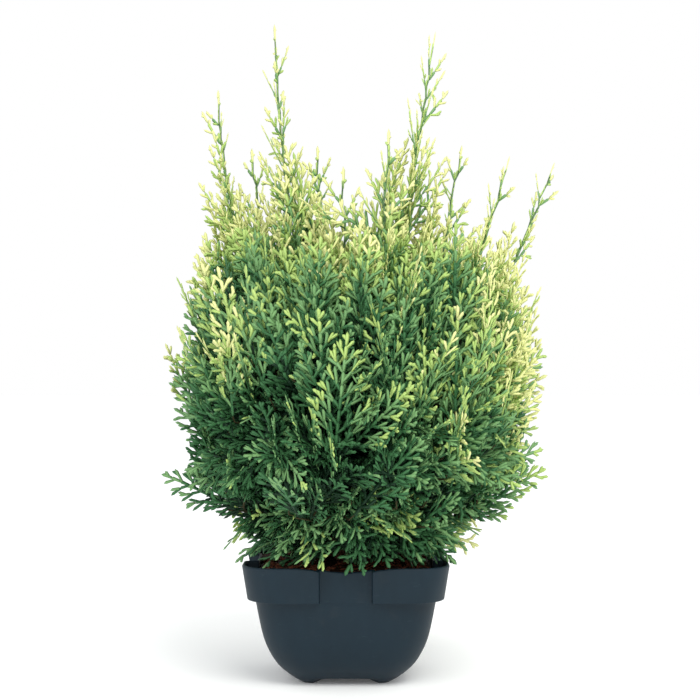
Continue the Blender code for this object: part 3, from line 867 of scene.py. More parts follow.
def leave_trunk(route):
    for index, point in enumerate(route):
        axis = trunk_axis(point.z)
        reached = Vector((point.x - axis.x, point.y - axis.y)).length
        if reached > trunk_radius(point.z) + BOUGH_RADIUS + 4 * GAP:
            return index
    raise ValueError("a route never leaves the trunk")


class Space:
    """Every point that lies nearer to a middle than to the others."""

    def __init__(self, middle, others):
        self.walls = []
        for other in others:
            away = (other - middle).normalized()
            self.walls.append((away, away.dot((other + middle) / 2)))

    def depth(self, point):
        return min(limit - away.dot(point) for away, limit in self.walls)


def crown_radius(height, outline=CROWN_OUTLINE):
    return read_profile(outline, height) if height <= outline[-1][0] else 0.0


def inside_crown(point, outline=CROWN_OUTLINE):
    if point.z < CROWN_FLOOR:
        return False
    limit = crown_radius(point.z, outline)
    off = point - CROWN_MIDDLE
    if outline is FINE_OUTLINE:
        lump = noise.noise(point / RAGGED_LUMP)
        limit *= 1.0 - RAGGED_DEPTH * min(1.0, max(0.0, RAGGED_LEVEL + lump))
        off -= FINE_SHIFT
    return off.x * off.x + off.y * off.y < limit * limit


def distance_out(point):
    """How far a point lies from the crown's middle line."""
    off = point - CROWN_MIDDLE
    return Vector((off.x, off.y)).length


def shoot_length(share, length):
    """How long a spray's side shoots are, along its spine."""
    swell = min(1.0, (share + SHOOT_SWELL_START) / SHOOT_SWELL_LENGTH) ** SHOOT_SWELL_POWER
    return length * SHOOT_SHARE * swell * (1 - share) ** SHOOT_TAPER_POWER


class Spray:
    """A flat frond: a spine that bends, and side shoots that shorten to its tip."""

    def __init__(self, root, course, facing, length, bend):
        self.root = root
        self.course = course.normalized()
        self.facing = facing
        self.length = length
        self.bend = bend
        self.free = False
        self.distance = None
        # Painted light added to the spray's leaf tones
        self.light = 0.0

    def at(self, share):
        return self.root + (self.course * share + self.bend * share * share) * self.length

    def frame(self, share):
        along = (self.course + self.bend * 2 * share).normalized()
        across = along.cross(self.facing).normalized()
        return along, across, across.cross(along).normalized()

    def stations(self):
        pairs = max(1, round(self.length / SPRAY_PITCH))
        return [0.0] + [FIRST_SHOOT + SHOOT_STRETCH * k / pairs for k in range(pairs + 1)]

    def shape(self, swell=0.0):
        """The toothed blade of the solids, for tests of room, made thicker by swell."""
        shape = bmesh.new()
        rows = []
        stations = self.stations()
        for share in stations:
            centre = self.at(share)
            along, across, over = self.frame(share)
            wide = across * (SPINE_HALF_WIDTH * (1 - SPINE_TAPER * share) + swell)
            thick = over * (SPRAY_THICKNESS / 2 * (1 - SPRAY_THINNING * share) + swell)
            corners = (wide + thick, thick - wide, -wide - thick, wide - thick)
            rows.append([shape.verts.new(centre + corner) for corner in corners])
        shape.faces.new(reversed(rows[0]))
        for index, (low, high) in enumerate(zip(rows, rows[1:])):
            shape.faces.new((low[0], low[1], high[1], high[0]))
            shape.faces.new((low[2], low[3], high[3], high[2]))
            for first, second, hand in ((0, 3, 1), (2, 1, -1)):
                if index == 0:
                    shape.faces.new((low[first], high[first], high[second], low[second]))
                    continue
                share = (stations[index] + stations[index + 1]) / 2
                tip = shape.verts.new(self.shoot_tip(share, hand, swell))
                shape.faces.new((low[first], high[first], tip))
                shape.faces.new((high[second], low[second], tip))
                shape.faces.new((low[second], low[first], tip))
                shape.faces.new((high[first], high[second], tip))
        apex = shape.verts.new(self.at(1.0) + self.frame(1.0)[0] * swell)
        top = rows[-1]
        for index in range(4):
            shape.faces.new((top[index], top[(index + 1) % 4], apex))
        bmesh.ops.recalc_face_normals(shape, faces=shape.faces)
        return shape

    def shoot_tip(self, share, hand, swell=0.0):
        along, across, over = self.frame(share)
        reach = shoot_length(share, self.length) + swell
        course = along * math.cos(SHOOT_ANGLE) + across * math.sin(SHOOT_ANGLE) * hand
        return self.at(share) + course * reach


class Mass:
    """One stem and the sprays on it, inside one space of the crown."""

    def __init__(self, name, kind, route, middle, space, seed):
        self.name = name
        self.kind = kind
        self.middle = middle
        self.space = space
        self.chance = random.Random(seed)
        self.fine_chance = random.Random(seed + FINE_SEED)
        first = leave_trunk(route)
        start = list(route[first:])
        inside = [k for k, point in enumerate(start) if space.depth(point) > ENTRY_MARGIN]
        entry = next(k for k in inside if k > LEAST_BOUGH)
        self.bough = route[:first + entry + 1]
        self.stem = trim_front(start[entry:], GAP)
        self.lengths = stem_lengths(self.stem)
        self.green = self.find_green()
        self.sprays = []
        self.taken = []
        self.twigs = []

    def fits(self, spray, free_shoot, limbs, taken, margin=SPACE_MARGIN, outline=CROWN_OUTLINE):
        """Whether a spray stays in its space, clear of the limbs and of the sprays taken."""
        shape = spray.shape(swell=GAP)
        points = [vertex.co for vertex in shape.verts]
        clear = all(self.space.depth(point) > margin for point in points)
        clear = clear and (free_shoot or all(inside_crown(point, outline) for point in points))
        if clear:
            tree = BVHTree.FromBMesh(shape)
            clear = not any(tree.overlap(other) for other in limbs + taken)
        shape.free()
        return clear

    def keep(self, spray):
        shape = spray.shape()
        self.taken.append(BVHTree.FromBMesh(shape))
        shape.free()
        self.sprays.append(spray)

    def place(self, distance, hand, limbs):
        free_shoot = self.is_free(distance)
        for trial in SPRAY_TRIALS:
            for attempt in range(PLAN_TRIES):
                spray = plan_spray(self, distance, hand, free_shoot, trial)
                if self.fits(spray, free_shoot, limbs, self.taken):
                    spray.free = free_shoot
                    spray.distance = distance
                    self.keep(spray)
                    return

    def is_free(self, distance):
        """Whether the stem stands out of the crown's outline at a distance from its foot."""
        point = stem_point(self.stem, self.lengths, distance)[0]
        return self.kind == "leader" and not inside_crown(point + outward(point) * FREE_DEPTH)

    def end_spray(self, length, bend, chance):
        """The spray that carries the stem on past its tip."""
        tip = self.stem[-1]
        course = (tip - self.stem[-2]).normalized()
        facing = spray_facing(course, tip, chance)
        spray = Spray(tip - course * ENDING_ROOT, course, facing, length, bend)
        spray.free = self.kind == "leader"
        return spray

    def open_length(self, distance):
        """How long a spray on the open part of a leader is: the nearer its tip, the shorter."""
        return SHOOT_TIP_SPRAY + SHOOT_GROWTH * (self.lengths[-1] - distance)

    def grow(self, limbs):
        rule = SPRAY_RULES[self.kind]
        ending = SHOOT_TIP_SPRAY if self.kind == "leader" else rule["long"] * ENDING_SHARE
        spray = self.end_spray(ending, UP * rule["lift"], self.chance)
        if self.fits(spray, spray.free, limbs, self.taken):
            self.keep(spray)
        hand = self.chance.choice((-1, 1))
        distance = FIRST_SPRAY
        while distance < self.lengths[-1] - LAST_SPRAY:
            self.place(distance, hand, limbs)
            hand = -hand
            step = SHOOT_SPACING if self.is_free(distance) else SPRAY_SPACING
            distance += step * self.chance.uniform(*SPACING_RANGE)

    def is_bare(self, point, room):
        return all((spray.root - point).length > room for spray in self.sprays)

    def sprout(self, distance, hand, limbs):
        """One short spray on the open part of a leader, if there is room for it."""
        for attempt in range(FREE_TRIES):
            length = FREE_GAIN * self.open_length(distance)
            spray = send_spray(self, distance, hand, self.fine_chance, FREE_FAN, FREE_SPLAY, length)
            if self.fits(spray, True, limbs, [], SEAM_MARGIN):
                spray.free = True
                spray.distance = distance
                self.sprays.append(spray)
                return

    def clothe_shoot(self, limbs):
        """More short sprays on a leader where it stands out of the crown and has none."""
        chance = self.fine_chance
        hand = chance.choice((-1, 1))
        distance = FIRST_SPRAY
        while distance < self.lengths[-1] - FREE_TOP:
            point = stem_point(self.stem, self.lengths, distance)[0]
            high = self.kind == "leader" and point.z > FREE_FOOT
            if (high or self.is_free(distance)) and self.is_bare(point, FREE_ROOM):
                self.sprout(distance, hand, limbs)
            hand = -hand
            distance += FREE_SPACING * chance.uniform(*SPACING_RANGE)
        if self.kind == "leader" and self.is_bare(self.stem[-1], FREE_ROOM / 2):
            self.sprays.append(self.end_spray(SHOOT_TIP_SPRAY, Vector(), chance))

    def sway(self, distance):
        """How far a leader's green shoot stands off its smooth course: it bends to each spray."""
        nodes = [spray for spray in self.sprays if spray.free and spray.distance]
        knots = [(self.green, Vector())]
        for spray in sorted(nodes, key=lambda node: node.distance):
            if spray.distance > self.green + FREE_ROOM:
                course = stem_point(self.stem, self.lengths, spray.distance)[1]
                side = spray.course - course * spray.course.dot(course)
                knots.append((spray.distance, side.normalized() * ZIGZAG))
        knots.append((self.lengths[-1], Vector()))
        for low, high in zip(knots, knots[1:]):
            if low[0] <= distance <= high[0]:
                span = max(LEAST_LENGTH, high[0] - low[0])
                return low[1].lerp(high[1], (distance - low[0]) / span)
        return Vector()

    def find_green(self):
        """The distance along the stem from which a leader is green."""
        for point, distance in zip(self.stem, self.lengths):
            if self.kind == "leader" and point.z > GREEN_FOOT:
                return distance
        return self.lengths[-1]

    def collar_tip(self):
        """A place near the leader's stem where it leaves the crown."""
        chance = self.fine_chance
        top = min(COLLAR_TOP, self.stem[-1].z - COLLAR_BELOW_TIP)
        share = chance.random()
        height = mix(COLLAR_FOOT, top, share)
        reach = COLLAR_RADIUS * math.sqrt(chance.random()) * (COLLAR_WIDTH - share)
        axis = min(self.stem, key=lambda point: abs(point.z - height))
        return axis + towards(chance.uniform(0.0, math.tau)) * reach

    def carry_on(self, spray, limbs, collar=False):
        """Keeps a planned spray, and a fine twig to it from the bough or stem, if both fit."""
        if not self.fits(spray, collar, limbs, [], SEAM_MARGIN, FINE_OUTLINE):
            return False
        twig = self.twig_to(spray.root, spray.course)
        if not all(collar or inside_crown(point) or point.z < CROWN_FLOOR for point in twig):
            return False
        self.sprays.append(spray)
        self.twigs.append(twig)
        return True

    def twig_to(self, root, heading):
        """The course of a twig that leaves its limb forwards and runs on into a spray."""
        limb = list(self.bough) + list(self.stem)
        best = None
        for low, high in zip(limb, limb[1:]):
            way = root - low
            turn = 2 * way.length - way.dot((high - low).normalized()) - way.dot(heading)
            cost = way.length + TWIG_TURN_COST * turn
            if best is None or cost < best[0]:
                best = (cost, low, (high - low).normalized(), way.length)
        cost, foot, course, reach = best
        leave = foot + course * reach * TWIG_LEAVE
        arrive = root - heading * reach * TWIG_ARRIVE
        return draw_route(foot, leave, arrive, root, TWIG_STEPS)


def outward(point):
    out = Vector((point.x - CROWN_MIDDLE.x, point.y - CROWN_MIDDLE.y, 0.0))
    return out.normalized() if out.length > LEAST_LENGTH else Vector((1.0, 0.0, 0.0))


def stem_lengths(stem):
    lengths = [0.0]
    for low, high in zip(stem, stem[1:]):
        lengths.append(lengths[-1] + (high - low).length)
    return lengths


def stem_point(stem, lengths, distance):
    """The point and the course at a distance along a stem."""
    for index in range(len(stem) - 1):
        if distance <= lengths[index + 1]:
            span = lengths[index + 1] - lengths[index]
            course = stem[index + 1] - stem[index]
            return stem[index] + course * ((distance - lengths[index]) / span), course.normalized()
    return stem[-1], (stem[-1] - stem[-2]).normalized()


def spray_facing(heading, point, chance, roll=1.0):
    """A spray shows its flat side outwards and a little up."""
    sheet = outward(point) + UP * SPRAY_UPTURN
    facing = (sheet - heading * sheet.dot(heading)).normalized()
    return Matrix.Rotation(chance.uniform(-roll, roll) * SPRAY_ROLL, 3, heading) @ facing


def plan_spray(mass, distance, hand, free_shoot, trial):
    """One spray by the solids' rule, cut back to a share of its length."""
    rule = SPRAY_RULES[mass.kind]
    fan, splay, length = rule["fan"], rule["angle"], rule["long"]
    if free_shoot:
        fan, splay, length = FREE_FAN, FREE_ANGLE, mass.open_length(distance)
    return send_spray(mass, distance, hand, mass.chance, fan, splay, length * trial)


def send_spray(mass, distance, hand, chance, fan, splay, length):
    """One spray that leaves the stem at a distance from its foot."""
    point, course = stem_point(mass.stem, mass.lengths, distance)
    guide = UP if mass.kind == "skirt" else outward(point)
    level = (guide - course * guide.dot(course)).normalized()
    away = Matrix.Rotation(math.radians(chance.uniform(*fan)) * hand, 3, course) @ level
    angle = math.radians(chance.uniform(*splay))
    heading = course * math.cos(angle) + away * math.sin(angle)
    bend = UP * SPRAY_RULES[mass.kind]["lift"] * chance.uniform(*LIFT_RANGE)
    facing = spray_facing(heading, point, chance)
    return Spray(point, heading, facing, length * chance.uniform(*LENGTH_RANGE), bend)


def plant_masses():
    chance = random.Random(GROWTH_SEED)
    kinds = {"leader": leader_routes(), "side": ring_routes(SIDE_RING, chance)}
    kinds["skirt"] = ring_routes(SKIRT_RING, chance)
    rows = [(kind, *row) for kind, routes in kinds.items() for row in enumerate(routes, 1)]
    middles = [mass_middle(kind, route) for kind, index, route in rows]
    masses = []
    for number, (kind, index, route) in enumerate(rows):
        space = Space(middles[number], middles[:number] + middles[number + 1:])
        name = f"{kind}_mass_{index}"
        masses.append(Mass(name, kind, route, middles[number], space, GROWTH_SEED + number))
    hard = [tree_of(node) for name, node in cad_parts.items() if "mass" not in name]
    for mass in masses:
        mass.grow(hard)
        mass.clothe_shoot(hard)
    carry_on_twigs(masses, hard)
    return masses


def random_tip(chance):
    """A place in the crown's outer part, or anywhere in its dome."""
    height = chance.uniform(CROWN_FLOOR, DOME_TOP)
    reach = 1.0 - SHELL_DEPTH * chance.random() ** SHELL_POWER
    if height > DOME_FOOT:
        reach = math.sqrt(chance.random())
    return crown_place(chance, height, reach)


def low_tip(chance):
    """A place just over the pot's rim or hanging past it."""
    return crown_place(chance, chance.uniform(CROWN_FLOOR, LOW_TOP), chance.uniform(LOW_REACH, 1.0))


def inner_tip(chance):
    return crown_place(chance, chance.uniform(*INNER_HEIGHTS), chance.uniform(*INNER_REACH))


def crown_place(chance, height, reach):
    out = towards(chance.uniform(0.0, math.tau)) * crown_radius(height, FINE_OUTLINE)
    return CROWN_MIDDLE + FINE_SHIFT + out * reach + UP * height


def spray_to(tip, guide, stray, bend, bends, lengths, roll, chance):
    """A spray that ends at a tip and keeps to a guide's course, give or take a stray."""
    off = Vector([chance.uniform(-stray, stray) for axis in range(3)])
    heading = (guide + off).normalized()
    bend = UP * bend * chance.uniform(*bends)
    length = chance.uniform(*lengths)
    root = tip - (heading + bend) * length
    return Spray(root, heading, spray_facing(heading, root, chance, roll), length, bend)


def plan_tip(tip, lengths, chance):
    """A spray that points outwards at its tip, more upright and less bent down with height."""
    guide = outward(tip) + UP * read_profile(TIP_RISE, tip.z)
    bend = read_profile(TIP_BEND, tip.z)
    roll = LOW_ROLL if tip.z < LOW_TOP else 1.0
    spray = spray_to(tip, guide, TIP_STRAY, bend, LIFT_RANGE, lengths, roll, chance)
    if tip.z > EDGE_FOOT and chance.random() < EDGE_SHARE:
        turn = chance.choice((-1, 1)) * chance.uniform(*EDGE_TURN)
        spray.facing = Matrix.Rotation(turn, 3, spray.course) @ spray.facing
    return spray


def plan_rim_frond(number, chance):
    """A larger frond that hangs over the pot's rim."""
    out = towards(math.tau * (number + chance.uniform(-RIM_JITTER, RIM_JITTER)) / RIM_FRONDS)
    tip = out * chance.uniform(*RIM_REACH) + UP * chance.uniform(*RIM_HEIGHTS)
    guide = out + UP * RIM_RISE
    frond = spray_to(tip, guide, RIM_STRAY, RIM_BEND, RIM_BENDS, RIM_LENGTHS, LOW_ROLL, chance)
    frond.light = RIM_LIGHT
    return frond


def nearest_mass(masses, point):
    return min(masses, key=lambda each: (each.middle - point).length_squared)


def carry_on_twigs(masses, limbs):
    """Fine twigs into every part of the crown, each on the mass that its spray's middle lies in."""
    chance = random.Random(FINE_SEED)
    tips = np.array([spray.at(1.0) for mass in masses for spray in mass.sprays])
    for number in range(RIM_FRONDS):
        for attempt in range(RIM_TRIES):
            spray = plan_rim_frond(number, chance)
            mass = nearest_mass(masses, spray.at(0.5))
            if mass.fits(spray, True, limbs, [], SEAM_MARGIN):
                mass.sprays.append(spray)
                mass.twigs.append(mass.twig_to(spray.root, spray.course))
                tips = np.vstack([tips, spray.at(1.0)])
                break
    leaders = [mass for mass in masses if mass.kind == "leader"]
    for attempt in range(COLLAR_TRIES):
        mass = leaders[attempt % len(leaders)]
        tip = mass.collar_tip()
        if distance_out(tip) < COLLAR_LIMIT and has_room(tip, tips, COLLAR_SPACING):
            if mass.carry_on(plan_tip(tip, COLLAR_LENGTHS, chance), limbs, True):
                tips = np.vstack([tips, tip])
    rounds = ((low_tip, LOW_TRIES, TIP_SPACING), (random_tip, TIP_TRIES, TIP_SPACING),
              (inner_tip, INNER_TRIES, INNER_SPACING))
    for choose, tries, spacing in rounds:
        for attempt in range(tries):
            tip = choose(chance)
            if has_room(tip, tips, spacing):
                spray = plan_tip(tip, TIP_LENGTHS, chance)
                if nearest_mass(masses, spray.at(0.5)).carry_on(spray, limbs):
                    tips = np.vstack([tips, tip])


def has_room(tip, tips, spacing):
    return np.min(np.sum((tips - np.array(tip)) ** 2, axis=1)) > spacing ** 2


def tree_of(piece):
    points = [vertex.co for vertex in piece.data.vertices]
    return BVHTree.FromPolygons(points, [face.vertices for face in piece.data.polygons])


# Bark

def taper(points, foot, tip):
    """Radii along a course, from its foot to its tip."""
    last = len(points) - 1
    return [mix(foot, tip, k / last) for k in range(last + 1)]


def tubes(courses, kind):
    """Courses of points and radii as one curve object, bevelled, filled and made a mesh."""
    curve = bpy.data.curves.new("limbs", "CURVE")
    curve.dimensions = "3D"
    curve.bevel_depth = 1.0
    curve.bevel_resolution = ROUNDNESS[kind]
    curve.use_fill_caps = True
    for points, radii in courses:
        spline = curve.splines.new("POLY")
        spline.points.add(len(points) - 1)
        for knot, point, radius in zip(spline.points, points, radii):
            knot.co = (*point, 1.0)
            knot.radius = radius
    piece = bpy.data.objects.new("limbs", curve)
    bpy.context.scene.collection.objects.link(piece)
    choose_only(piece)
    bpy.ops.object.convert(target="MESH")
    piece = bpy.context.object
    bpy.ops.object.mode_set(mode="EDIT")
    bpy.ops.mesh.select_all(action="SELECT")
    bpy.ops.mesh.remove_doubles(threshold=WELD)
    bpy.ops.mesh.normals_make_consistent(inside=False)
    bpy.ops.object.mode_set(mode="OBJECT")
    bpy.ops.object.shade_smooth_by_angle(angle=SOFT_SMOOTH)
    return piece


def fibre(place, depth):
    """Height of the bark's long ridges at a place."""
    ridges = abs(noise.noise(place * RIDGE_SCALE)) * RIDGE_GAIN
    strips = noise.noise(place * STRIP_SCALE) * STRIP_GAIN
    return depth * (ridges + strips - STRIP_GAIN)


def roughen(piece, depth):
    moves = [vertex.normal * fibre(vertex.co, depth) for vertex in piece.data.vertices]
    for vertex, move in zip(piece.data.vertices, moves):
        vertex.co += move


def make_trunk():
    top = TRUNK_SECTIONS[-1][0]
    heights = [trunk_foot() + top * k / TRUNK_STEPS for k in range(TRUNK_STEPS + 1)]
    points = [trunk_axis(height) for height in heights]
    trunk = tubes([(points, [trunk_radius(height) for height in heights])], "trunk")
    base = TRUNK_SECTIONS[0][1]
    for vertex in trunk.data.vertices:
        axis = trunk_axis(vertex.co.z)
        off = Vector((vertex.co.x - axis.x, vertex.co.y - axis.y, 0.0))
        flare = FLARE_DEPTH * (off.length / base) ** FLARE_POWER
        wave = flare * math.cos(FLARE_LOBES * math.atan2(off.y, off.x)) - flare
        vertex.co += off * wave
    roughen(trunk, BARK_RELIEF)
    foot = trunk_foot()
    for vertex in trunk.data.vertices:
        vertex.co.z = max(vertex.co.z, foot)
    return trunk


def make_limbs(masses):
    trunk = make_trunk()
    courses = [(mass.bough, taper(mass.bough, BOUGH_FOOT_RADIUS, STEM_RADIUS)) for mass in masses]
    boughs = tubes(courses, "bough")
    roughen(boughs, BOUGH_RELIEF)
    choose_only(trunk, boughs)
    bpy.ops.object.join()
    names = [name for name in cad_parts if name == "trunk" or "bough" in name]
    dress(trunk, "trunk_and_boughs", fibrous_bark(), names)
    make_twigs(masses)


def make_twigs(masses):
    """Brown twigs inside the crown, and the green shoots of the leaders above it."""
    brown, green = [], []
    for mass in masses:
        radii = taper(mass.stem, STEM_RADIUS, STEM_TIP_RADIUS)
        split = mass.lengths.index(mass.green)
        brown.append((mass.stem[:split + 1], radii[:split + 1]))
        shoot = [mass.stem[k] + mass.sway(mass.lengths[k]) for k in range(split, len(radii))]
        if len(shoot) > 1:
            green.append((shoot, radii[split:]))
        brown += [(twig, taper(twig, TWIG_RADIUS, TWIG_TIP_RADIUS)) for twig in mass.twigs]
    names = [mass.name for mass in masses]
    dress(tubes(brown, "twig"), "twigs", brown_twig(), names)
    dress(tubes(green, "shoot"), "leader_shoots", green_stem(), names[:len(LEADERS)])


# Foliage

def extrude_along(step):
    bpy.ops.mesh.extrude_region_move(TRANSFORM_OT_translate={"value": (step, 0.0, 0.0)})


def scale_pattern():
    """A run of scale leaves: a blunt finger of twelve faces, flat below and narrow at its root."""
    bpy.ops.mesh.primitive_cone_add(vertices=3, radius1=1.0, radius2=0.0, depth=1.0,
                                    end_fill_type="NOTHING", rotation=(0.0, math.pi / 2, 0.0))
    finger = bpy.context.object
    bpy.ops.object.transform_apply(location=True, rotation=True, scale=True)
    bpy.ops.object.mode_set(mode="EDIT")
    bpy.ops.mesh.select_all(action="DESELECT")
    shape = bmesh.from_edit_mesh(finger.data)
    apex = max(shape.verts, key=lambda vert: vert.co.x)
    for vert in shape.verts:
        if vert != apex:
            vert.co.x = SCALE_WIDEST
            vert.select_set(True)
    ridge = max((vert for vert in shape.verts if vert != apex), key=lambda vert: abs(vert.co.z))
    flip = 1.0 if ridge.co.z > 0.0 else -1.0
    for vert in shape.verts:
        vert.co.y *= SCALE_SPREAD
        vert.co.z *= flip
    apex.co.x = 1.0
    shape.select_flush(True)
    bmesh.update_edit_mesh(finger.data)
    extrude_along(SCALE_WAIST - SCALE_WIDEST)
    bpy.ops.transform.resize(value=(1.0, SCALE_WAIST_WIDTH, SCALE_WAIST_WIDTH))
    extrude_along(-1.0 - SCALE_WAIST)
    bpy.ops.mesh.merge(type="CENTER")
    bpy.ops.mesh.select_all(action="SELECT")
    bpy.ops.mesh.quads_convert_to_tris()
    bpy.ops.mesh.normals_make_consistent(inside=False)
    bpy.ops.object.mode_set(mode="OBJECT")
    return pattern_of(finger)


class Shoots:
    """Shoots clothed with scale leaves, kept as rows of numbers until they are dealt out."""

    def __init__(self):
        self.rows = []

    def add(self, root, course, over, bow, length, half_width, tones, pitch):
        count = max(1, round(length / pitch))
        self.rows.append((*root, *course, *over, *bow, length, half_width, *tones, count))

    def scales(self):
        """Centre, three scaled axes and tone of every run of scale leaves."""
        table = np.array(self.rows)
        counts = table[:, 16].astype(int)
        row = np.repeat(np.arange(len(table)), counts)
        number = np.arange(len(row)) - np.repeat(np.cumsum(counts) - counts, counts)
        table = table[row]
        counts = counts[row]
        share = ((number + 0.5) / counts)[:, None]
        root, course, over, bow = (table[:, k:k + 3] for k in (0, 3, 6, 9))
        length, half_width = table[:, 12:13], table[:, 13:14]
        centre = root + (course * share + bow * share ** 2) * length
        along = course + bow * 2 * share
        along /= np.linalg.norm(along, axis=1, keepdims=True)
        across = np.cross(along, over)
        across /= np.linalg.norm(across, axis=1, keepdims=True)
        over = np.cross(across, along)
        half_length = length / counts[:, None] * SCALE_OVERLAP
        frames = np.stack([along * half_length, across * half_width,
                           over * half_width * SCALE_THICKNESS], axis=1)
        share = (number + 1) / counts
        tones = table[:, 14] + (table[:, 15] - table[:, 14]) * share ** TONE_POWER
        return centre, frames, np.clip(np.round(tones), 0, len(TONE_NAMES) - 1).astype(int)


def spray_tones(spray, chance):
    """The tones at a spray's root and tips, with painted light and shade: lightest high up and far
    out, deepest within.
    """
    if spray.free:
        return FREE_TONES
    place = spray.at(LIGHT_PLACE)
    reach = distance_out(place) / max(LEAST_RADIUS, crown_radius(place.z))
    # Painted shade: sprays deep within the crown get darker tones, those in its outer shell lighter
    shell = read_profile(SHELL_SHARE, max(reach, read_profile(HEIGHT_REACH, place.z)))
    patch = noise.noise(place * PATCH_SCALE)
    # Painted light and shade: lighter high up and to the right, darker low down
    light = SHELL_GAIN * shell + read_profile(HEIGHT_PAINTED_LIGHT, place.z) + PATCH_LIGHT * patch
    light += chance.uniform(-CHANCE_LIGHT, CHANCE_LIGHT)
    light += RIGHT_PAINTED_LIGHT_GAIN * (place - CROWN_MIDDLE).dot(RIGHT_PAINTED_LIGHT_COURSE) + spray.light
    light = min(MOST_LIGHT, max(SHELL_LIGHT * shell, light))
    return ROOT_TONE[0] + ROOT_TONE[1] * light, TIP_TONE[0] + TIP_TONE[1] * light


def is_seen(spray):
    """Whether a spray stands in the crown's outer part, where its short shoots show."""
    tip = spray.at(1.0)
    far_out = distance_out(tip) > SEEN_REACH * crown_radius(tip.z)
    return spray.free or far_out or tip.z > SEEN_HEIGHT


def fork_off(along, across, over, angle, hand, chance):
    """A course that leaves another at an angle, a little out of the spray's plane."""
    course = along * math.cos(angle) + across * math.sin(angle) * hand
    return (course + over * chance.uniform(-OUT_OF_PLANE, OUT_OF_PLANE)).normalized()


def draw_spray(shoots, spray, chance, shift):
    """A spine with side shoots by turns left and right, each with short shoots of its own."""
    low, high = spray_tones(spray, chance)
    fine = is_seen(spray)
    pitch = SCALE_PITCH if fine else COARSE_PITCH
    spine = FREE_SPINE if spray.free else SPINE_SCALE
    spread = FREE_NARROW if spray.free else 1.0
    slim = FREE_SLIM if spray.free else 1.0
    longest = SHORT_LENGTH * (LOW_SHORT_GAIN if spray.at(1.0).z < LOW_TOP else 1.0)
    spray.root = spray.root + shift
    course, facing, bend = spray.course, spray.facing, spray.bend
    shoots.add(spray.root, course, facing, bend, spray.length, spine, (low, high), pitch)
    hand = chance.choice((-1, 1))
    share = SIDE_START
    while share < SIDE_END:
        along, across, over = spray.frame(share)
        reach = shoot_length(share, spray.length) * spread * chance.uniform(*SIDE_LENGTHS)
        angle = SHOOT_ANGLE * chance.uniform(*SIDE_ANGLES)
        bow = along * FORWARD_BOW
        course = fork_off(along, across, over, angle, hand, chance) - bow * BOW_BACK
        start = spray.at(share)
        places = (SPINE_SHARE * share, mix(1.0 - SPINE_SHARE, 1.0, share))
        tones = [mix(low, high, place) for place in places]
        shoots.add(start, course, over, bow, reach, SIDE_SCALE * slim, tones, pitch)
        if fine:
            draw_short_shoots(shoots, start, course, over, bow, reach, tones, slim, longest, chance)
        hand = -hand
        share += SIDE_SPACING / spray.length * chance.uniform(*SPACING_RANGE)


def draw_short_shoots(shoots, start, course, over, bow, reach, tones, slim, longest, chance):
    """Short shoots by turns left and right along a side shoot."""
    hand = chance.choice((-1, 1))
    distance = SHORT_START
    while distance < reach - SHORT_END:
        share = distance / reach
        along = (course + bow * 2 * share).normalized()
        across = along.cross(over).normalized()
        length = min(longest, SHORT_LEFT * (reach - distance) + SHORT_SHARE * longest)
        length *= chance.uniform(*SHORT_LENGTHS)
        heading = fork_off(along, across, over, SHORT_ANGLE, hand, chance)
        point = start + (course * share + bow * share * share) * reach
        here = mix(*tones, share ** TONE_POWER)
        own = (here, here + SHORT_GAIN * (tones[1] - tones[0]))
        width = SHORT_SCALE * slim
        shoots.add(point, heading, over, bow * SHORT_BOW, length, width, own, SCALE_PITCH)
        hand = -hand
        distance += SHORT_SPACING * chance.uniform(*SPACING_RANGE)


def draw_free_stem(shoots, mass):
    """Scale leaves that wrap a leader where it stands out of the crown."""
    step = FREE_STEM_STEP
    length = step * FREE_STEM_OVERLAP
    distance = FIRST_SPRAY
    while distance < mass.lengths[-1] - step:
        if mass.is_free(distance):
            point, course = stem_point(mass.stem, mass.lengths, distance)
            point = point + mass.sway(distance)
            width = mix(*FREE_STEM_WIDTHS, distance / mass.lengths[-1])
            over = outward(point)
            shoots.add(point, course, over, Vector(), length, width, FREE_STEM_TONES, step)
        distance += step


def make_foliage(masses):
    """Leaves by tier and tone: leaders, the sides in front and behind, and the skirt."""
    pattern = scale_pattern()
    groups = {"leader": [], "side_front": [], "side_back": [], "skirt": []}
    for mass in masses:
        half = "_front" if mass.middle.y < 0.0 else "_back"
        groups[mass.kind + (half if mass.kind == "side" else "")].append(mass)
    materials = [scale_leaves(tone) for tone in TONE_NAMES]
    for kind, group in groups.items():
        shoots = Shoots()
        for mass in group:
            if kind == "leader":
                draw_free_stem(shoots, mass)
            for spray in mass.sprays:
                shift = mass.sway(spray.distance) if spray.distance else Vector()
                draw_spray(shoots, spray, mass.fine_chance, shift)
        centres, frames, tones = shoots.scales()
        for number, tone in enumerate(TONE_NAMES):
            chosen = tones == number
            if not chosen.any():
                continue
            leaves = deal_out(pattern, centres[chosen], frames[chosen], True)
            names = [mass.name for mass in group]
            dress(leaves, f"{kind}_leaves_{tone}", materials[number], names)


# Camera, light and floor

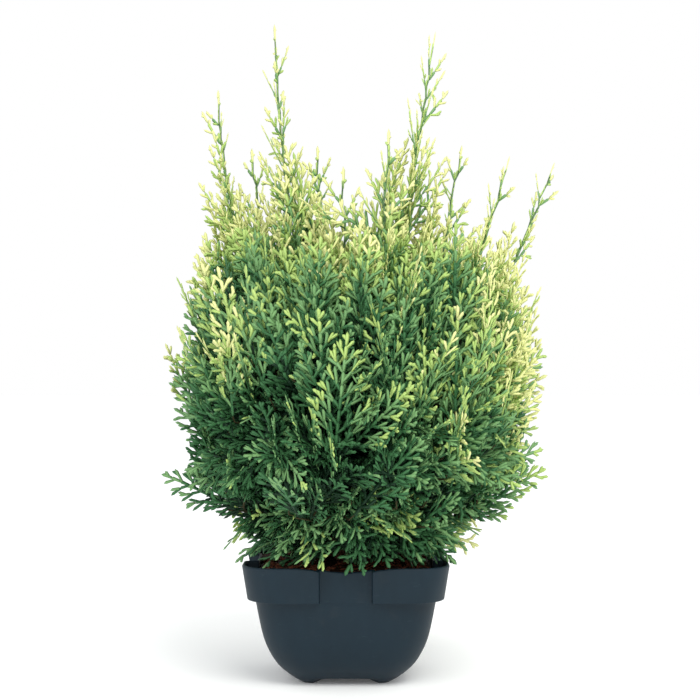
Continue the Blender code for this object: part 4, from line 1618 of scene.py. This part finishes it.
CAMERA_DISTANCE = 1.0
CAMERA_SIDE = 0.0026
CAMERA_HEIGHT = 0.212
CAMERA_LENS = 78.55
SENSOR = 36.0
NEAREST = 0.05
# Each light's name, place, size, power and colour
LIGHTS = (
    ("key", (0.45, -1.10, 1.50), 1.0, 20.0, (1.0, 0.99, 0.95)),
    ("fill", (-1.3, -0.9, 0.5), 0.9, 2.5, (0.93, 0.97, 1.0)),
)
LIGHT_TARGET = Vector((0.0, 0.0, 0.2))
WHITE = (1.0, 1.0, 1.0, 1.0)
FLOOR_SIZE = 12.0
FLOOR_GLOW = 0.06
FLOOR_TONES = (srgb(254, 255, 255), srgb(252, 254, 255))


def make_camera():
    bpy.ops.object.camera_add(location=(CAMERA_SIDE, -CAMERA_DISTANCE, CAMERA_HEIGHT),
                              rotation=(math.pi / 2, 0.0, 0.0))
    camera = bpy.context.object
    camera.data.lens = CAMERA_LENS
    camera.data.sensor_width = SENSOR
    camera.data.clip_start = NEAREST
    bpy.context.scene.camera = camera


def soft_light(name, place, size, power, colour):
    bpy.ops.object.light_add(type="AREA", location=place)
    lamp = bpy.context.object
    lamp.name = name
    lamp.data.size = size
    lamp.data.energy = power
    lamp.data.color = colour
    lamp.rotation_euler = (LIGHT_TARGET - Vector(place)).to_track_quat("-Z", "Y").to_euler()


def make_studio():
    world = bpy.data.worlds.new("studio")
    bpy.context.scene.world = world
    world.use_nodes = True
    world.node_tree.nodes["Background"].inputs["Color"].default_value = WHITE
    world.node_tree.nodes["Background"].inputs["Strength"].default_value = 1.0
    for light in LIGHTS:
        soft_light(*light)
    bpy.ops.mesh.primitive_plane_add(size=FLOOR_SIZE)
    floor = bpy.context.object
    floor.name = "floor"
    glow = {"Emission Color": WHITE, "Emission Strength": FLOOR_GLOW}
    finish = Finish("floor_white", {"Specular IOR Level": 0.2, **glow})
    finish.coat(finish.blend(finish.cloud(finish.place(), 3.0, 2.0), *FLOOR_TONES), 0.8)
    floor.data.materials.append(finish.material)
    bpy.context.scene.view_settings.view_transform = "Standard"


make_camera()
make_studio()
make_pot()
make_soil()
make_chips()
plant = plant_masses()
make_limbs(plant)
make_foliage(plant)
